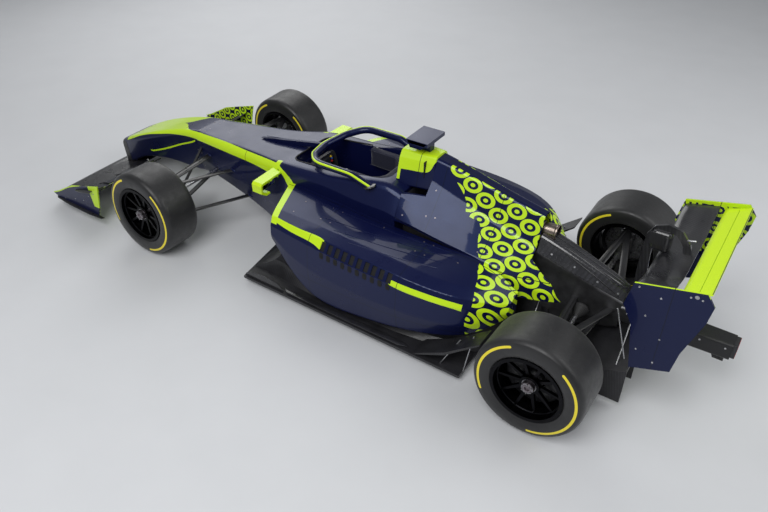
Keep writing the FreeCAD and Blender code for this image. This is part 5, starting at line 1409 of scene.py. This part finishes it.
class CAR_OT_suspension(bpy.types.Operator):
    """Finish the suspension: bolts, boots, drive shafts, brake hoses and mounting bosses"""
    bl_idname = "car.suspension"
    bl_label = "Suspension"

    def execute(self, context):
        for corner in CORNERS:
            inset = 0.075 if corner.end == "front" else 0.09
            x, y, z = corner.centre.x, abs(corner.centre.y) - inset, corner.centre.z
            for name, way in (("upper", 1), ("lower", -1)):
                place = Vector((x, corner.sign * y, z + way * 0.1435))
                cap = lathe([(0.0, 0.0), (0.0145, 0.0), (0.0145, 0.003), (0.01, 0.006), (0.0, 0.006)], place,
                            (0, 0, way), 28)
                settle(cap, f"joint_cap_{name}_{corner.name}", "steel")
        shafts, boots = [], []
        for side in SIDES:
            shafts.append(rod(at(0.0, side * 0.1, 0.348), at(0.0, side * 0.652, 0.333), 0.0165, sides=28))
            for centre, way, size in (((0.0, side * 0.135, 0.347), side, 1.0),
                                      ((0.0, side * 0.64, 0.3333), -side, 0.92)):
                outline = [(0.0, 0.0), (0.052 * size, 0.0)]
                for step in range(7):
                    r = (0.05 - 0.0048 * step) * size
                    outline += [(r, 0.01 + 0.011 * step), (r - 0.006, 0.0155 + 0.011 * step)]
                outline += [(0.018, 0.09), (0.0, 0.09)]
                boots.append(lathe(outline, at(*centre), (0, way, -0.027 * way * side), 40))
        settle(shafts, "drive_shafts", "steel")
        settle(boots, "drive_shaft_boots", "rubber")
        bosses = []
        for x, z in ((3.125, 0.512), (2.833, 0.479), (3.174, 0.325), (2.7, 0.285)):
            spot, normal = from_side("monocoque", x, 1, z, -0.004)
            bosses.append(rod(spot, spot + normal * 0.012, 0.032, 0.024, 28, flat=0.6))
        settle(both(bosses), "arm_mounts", "navy")
        hoses = [tube([at(*spot) for spot in path], 0.0034) for path in (
            ((3.128, 0.2, 0.524), (3.13, 0.32, 0.519), (3.131, 0.48, 0.508), (3.132, 0.62, 0.497),
             (3.134, 0.69, 0.487)),
            ((0.048, 0.12, 0.402), (0.04, 0.3, 0.424), (0.022, 0.48, 0.452), (0.006, 0.62, 0.476),
             (0.0, 0.66, 0.482)))]
        settle(both(hoses), "brake_hoses", "rubber")
        clips = [block(at(x - 0.007, y - 0.004, z - 0.006), at(x + 0.007, y + 0.004, z + 0.005), 0.001, 1)
                 for x, y, z in ((3.13, 0.3, 0.5195), (3.131, 0.44, 0.5105), (3.132, 0.58, 0.5))]
        settle(both(clips), "hose_clips", "plastic")
        sleeves = []
        for side in SIDES:
            sleeves.append(rod(at(3.035, side * 0.69, 0.425), at(3.035, side * 0.735, 0.425), 0.0135, 0.0115, 20))
            sleeves.append(rod(at(3.035, side * 0.655, 0.425), at(3.035, side * 0.688, 0.425), 0.012, 0.012, 6))
        settle(sleeves, "track_rod_ends", "steel", "rack")
        return {"FINISHED"}


class CAR_OT_tail(bpy.types.Operator):
    """Finish the tail: cover ribs, exhaust lip, casing bolts, pipes and the light's cells"""
    bl_idname = "car.tail"
    bl_label = "Tail"

    def execute(self, context):
        ribs = []
        for y in (-0.066, -0.033, 0.0, 0.033, 0.066):
            spots = [from_above("gearbox_cover", x, y, 0.0)[0] for x in
                     (0.29, 0.24, 0.18, 0.11, 0.03, -0.05, -0.12, -0.19)]
            ribs.append(tube(spots, 0.0042, steps=6))
        settle(ribs, "gearbox_cover_ribs", "carbon")
        lip = lathe([(0.0395, -0.042), (0.047, -0.044), (0.049, -0.04), (0.0485, -0.03), (0.0455, -0.026),
                     (0.045, 0.01), (0.0425, 0.01), (0.042, -0.03)], at(0.303, 0, 0.742), (1, 0, 0), 48)
        settle(lip, "exhaust_lip", "hot_metal")
        band = lathe([(0.042, 0.05), (0.0462, 0.051), (0.0462, 0.06), (0.042, 0.061)], at(0.303, 0, 0.742),
                     (1, 0, 0), 48)
        settle(band, "exhaust_clamp", "steel")
        settle([tube([at(x, side * y, z) for x, y, z in
                      ((0.335, 0.04, 0.7), (0.41, 0.052, 0.694), (0.52, 0.07, 0.64), (0.6, 0.085, 0.56))],
                     0.013, detail=4) for side in SIDES], "relief_pipes", "hot_metal")
        heads = []
        for side in SIDES:
            heads += [from_side("gearbox", x, side, 0.395) for x in (-0.26, -0.4, -0.54, -0.68, -0.82)]
            heads += [from_above("gearbox_cover", x, side * y) for x, y in
                      ((0.25, 0.092), (0.1, 0.082), (-0.05, 0.074), (-0.18, 0.06))]
        settle(bolts(heads, 0.0062, 0.003), "casing_bolts", "steel")
        settle([block(at(-0.8788, *low), at(-0.856, *high), 0.0008, 1) for low, high in (
            ((-0.0475, 0.4195), (0.0475, 0.4225)), ((-0.0475, 0.3295), (0.0475, 0.3325)),
            ((0.0445, 0.3295), (0.0475, 0.4225)), ((-0.0475, 0.3295), (-0.0445, 0.4225)))],
               "light_shroud", "matt_carbon")
        cells = [(0.027 * column, 0.3475 + 0.0142 * row) for row in range(5) for column in (-1, 0, 1)]
        settle([block(at(-0.8798, y - 0.0105, z - 0.0052), at(-0.8785, y + 0.0105, z + 0.0052), 0.0007, 1)
                for y, z in cells], "light_cells", "lens")
        return {"FINISHED"}


class CAR_OT_rear_wing(bpy.types.Operator):
    """Finish the rear wing: bolts, stays, trailing strip, actuator rod and edge trims"""
    bl_idname = "car.rear_wing"
    bl_label = "Rear wing"

    def execute(self, context):
        stays = both(rod(at(-0.268, 0.432, 0.699), at(-0.368, 0.432, 0.373), 0.004, sides=14))
        settle(stays, "endplate_stays", "steel")
        heads = [from_side("rear_wing_endplates", x, side, z) for side in SIDES for x, z in
                 ((-0.355, 0.925), (-0.47, 0.9), (-0.6, 0.968), (-0.655, 0.972), (-0.42, 0.76),
                  (-0.52, 0.64), (-0.42, 0.52), (-0.52, 0.47))]
        settle(bolts(heads, 0.0055, 0.0022), "rear_endplate_bolts", "steel")
        actuator = rod(at(-0.452, 0, 0.962), at(-0.5, 0, 0.976), 0.007, 0.005, 16)
        settle(actuator, "flap_actuator_rod", "steel")
        spots = [from_above("rear_wing_flap", -0.686, 0.455 - 0.091 * i, 0.0)[0] for i in range(11)]
        settle(tube(spots, 0.0022, steps=4), "flap_trailing_strip", "carbon", "drag_flap")
        cap = [(0.0, 0.0), (0.011, 0.0), (0.011, 0.0022), (0.006, 0.0034), (0.0, 0.0034)]
        settle([lathe(cap, at(-0.6271, side * 0.482, 0.9805), (0, side, 0), 24) for side in SIDES],
               "flap_pin_caps", "steel")
        pod = both(block(at(-0.35, 0.0335, 0.9), at(-0.262, 0.0352, 0.975), 0.0006, 1))
        settle(pod, "actuator_panels", "matt_carbon")
        return {"FINISHED"}


PIECES = (CAR_OT_tyres, CAR_OT_wheels, CAR_OT_steering_wheel, CAR_OT_headrest, CAR_OT_seat, CAR_OT_hoop,
          CAR_OT_mirrors, CAR_OT_front_wing, CAR_OT_sidepods, CAR_OT_floor_edges, CAR_OT_suspension,
          CAR_OT_tail, CAR_OT_rear_wing)


class CAR_OT_stage(bpy.types.Operator):
    """Lay the floor, hang the lamps and place the camera"""
    bl_idname = "car.stage"
    bl_label = "Stage"

    def execute(self, context):
        deselect()
        bpy.ops.mesh.primitive_plane_add(size=60, location=(0, 0, 0))
        floor = context.object
        floor.name = "studio_floor"
        pale = Finish("pale_floor", (0.62, 0.63, 0.65), 0.75)
        pale.put("Base Color", pale.mix(pale.noise(pale.place(), 2.2, 4), (0.6, 0.61, 0.63), (0.65, 0.66, 0.68)))
        floor.data.materials.append(pale.material)
        for name, place, size, power in (
            ("key_lamp", (-1.0, 5.5, 6.5), 5.0, 430),
            ("fill_lamp", (5.0, -4.5, 5.0), 6.0, 240),
            ("back_lamp", (-5.5, -2.0, 4.5), 5.0, 155),
        ):
            bpy.ops.object.light_add(type="AREA", location=place)
            lamp = context.object
            lamp.name = name
            lamp.data.size = size
            lamp.data.energy = power
            lamp.rotation_euler = (-Vector(place)).to_track_quat("-Z", "Y").to_euler()
        world = bpy.data.worlds.new("studio_air")
        context.scene.world = world
        world.use_nodes = True
        for socket, value in zip(world.node_tree.nodes["Background"].inputs, ((0.84, 0.87, 0.9, 1), 0.27)):
            socket.default_value = value
        bpy.ops.object.camera_add()
        camera = context.object
        yaw, pitch, roll = -0.9636, 0.6454, -0.0143
        ahead = Vector((math.cos(yaw) * math.cos(pitch), math.sin(yaw) * math.cos(pitch), -math.sin(pitch)))
        right = ahead.cross(Vector((0, 0, 1))).normalized()
        up = right.cross(ahead)
        right, up = (right * math.cos(roll) + up * math.sin(roll), up * math.cos(roll) - right * math.sin(roll))
        camera.matrix_world = Matrix.Translation((-2.5829, 3.4439, 3.1794)) @ Matrix(
            (right, up, -ahead)).transposed().to_4x4()
        camera.data.lens = 32.29
        camera.data.sensor_width = 36
        camera.data.clip_end = 200
        context.scene.camera = camera
        context.scene.view_settings.view_transform = "Standard"
        return {"FINISHED"}


class CAR_PT_panel(bpy.types.Panel):
    """Lists the steps that dress the car"""
    bl_idname = "CAR_PT_panel"
    bl_label = "Racing car"
    bl_space_type = "VIEW_3D"
    bl_region_type = "UI"
    bl_category = "Racing car"

    def draw(self, context):
        for group in (context.scene.car_colours, context.scene.car_sizes):
            for name in group.__annotations__:
                self.layout.prop(group, name)
        for step in STEPS:
            self.layout.operator(step.bl_idname)


STEPS = (CAR_OT_body_paint, CAR_OT_structure, *PIECES, CAR_OT_stage)
CLASSES = (CarColours, CarSizes, *STEPS, CAR_PT_panel)


def register():
    for item in CLASSES:
        bpy.utils.register_class(item)
    bpy.types.Scene.car_colours = bpy.props.PointerProperty(type=CarColours)
    bpy.types.Scene.car_sizes = bpy.props.PointerProperty(type=CarSizes)


def unregister():
    del bpy.types.Scene.car_sizes
    del bpy.types.Scene.car_colours
    for item in reversed(CLASSES):
        bpy.utils.unregister_class(item)


def main():
    register()
    for step in STEPS:
        group, name = step.bl_idname.split(".")
        getattr(getattr(bpy.ops, group), name)()


if __name__ == "__main__":
    main()
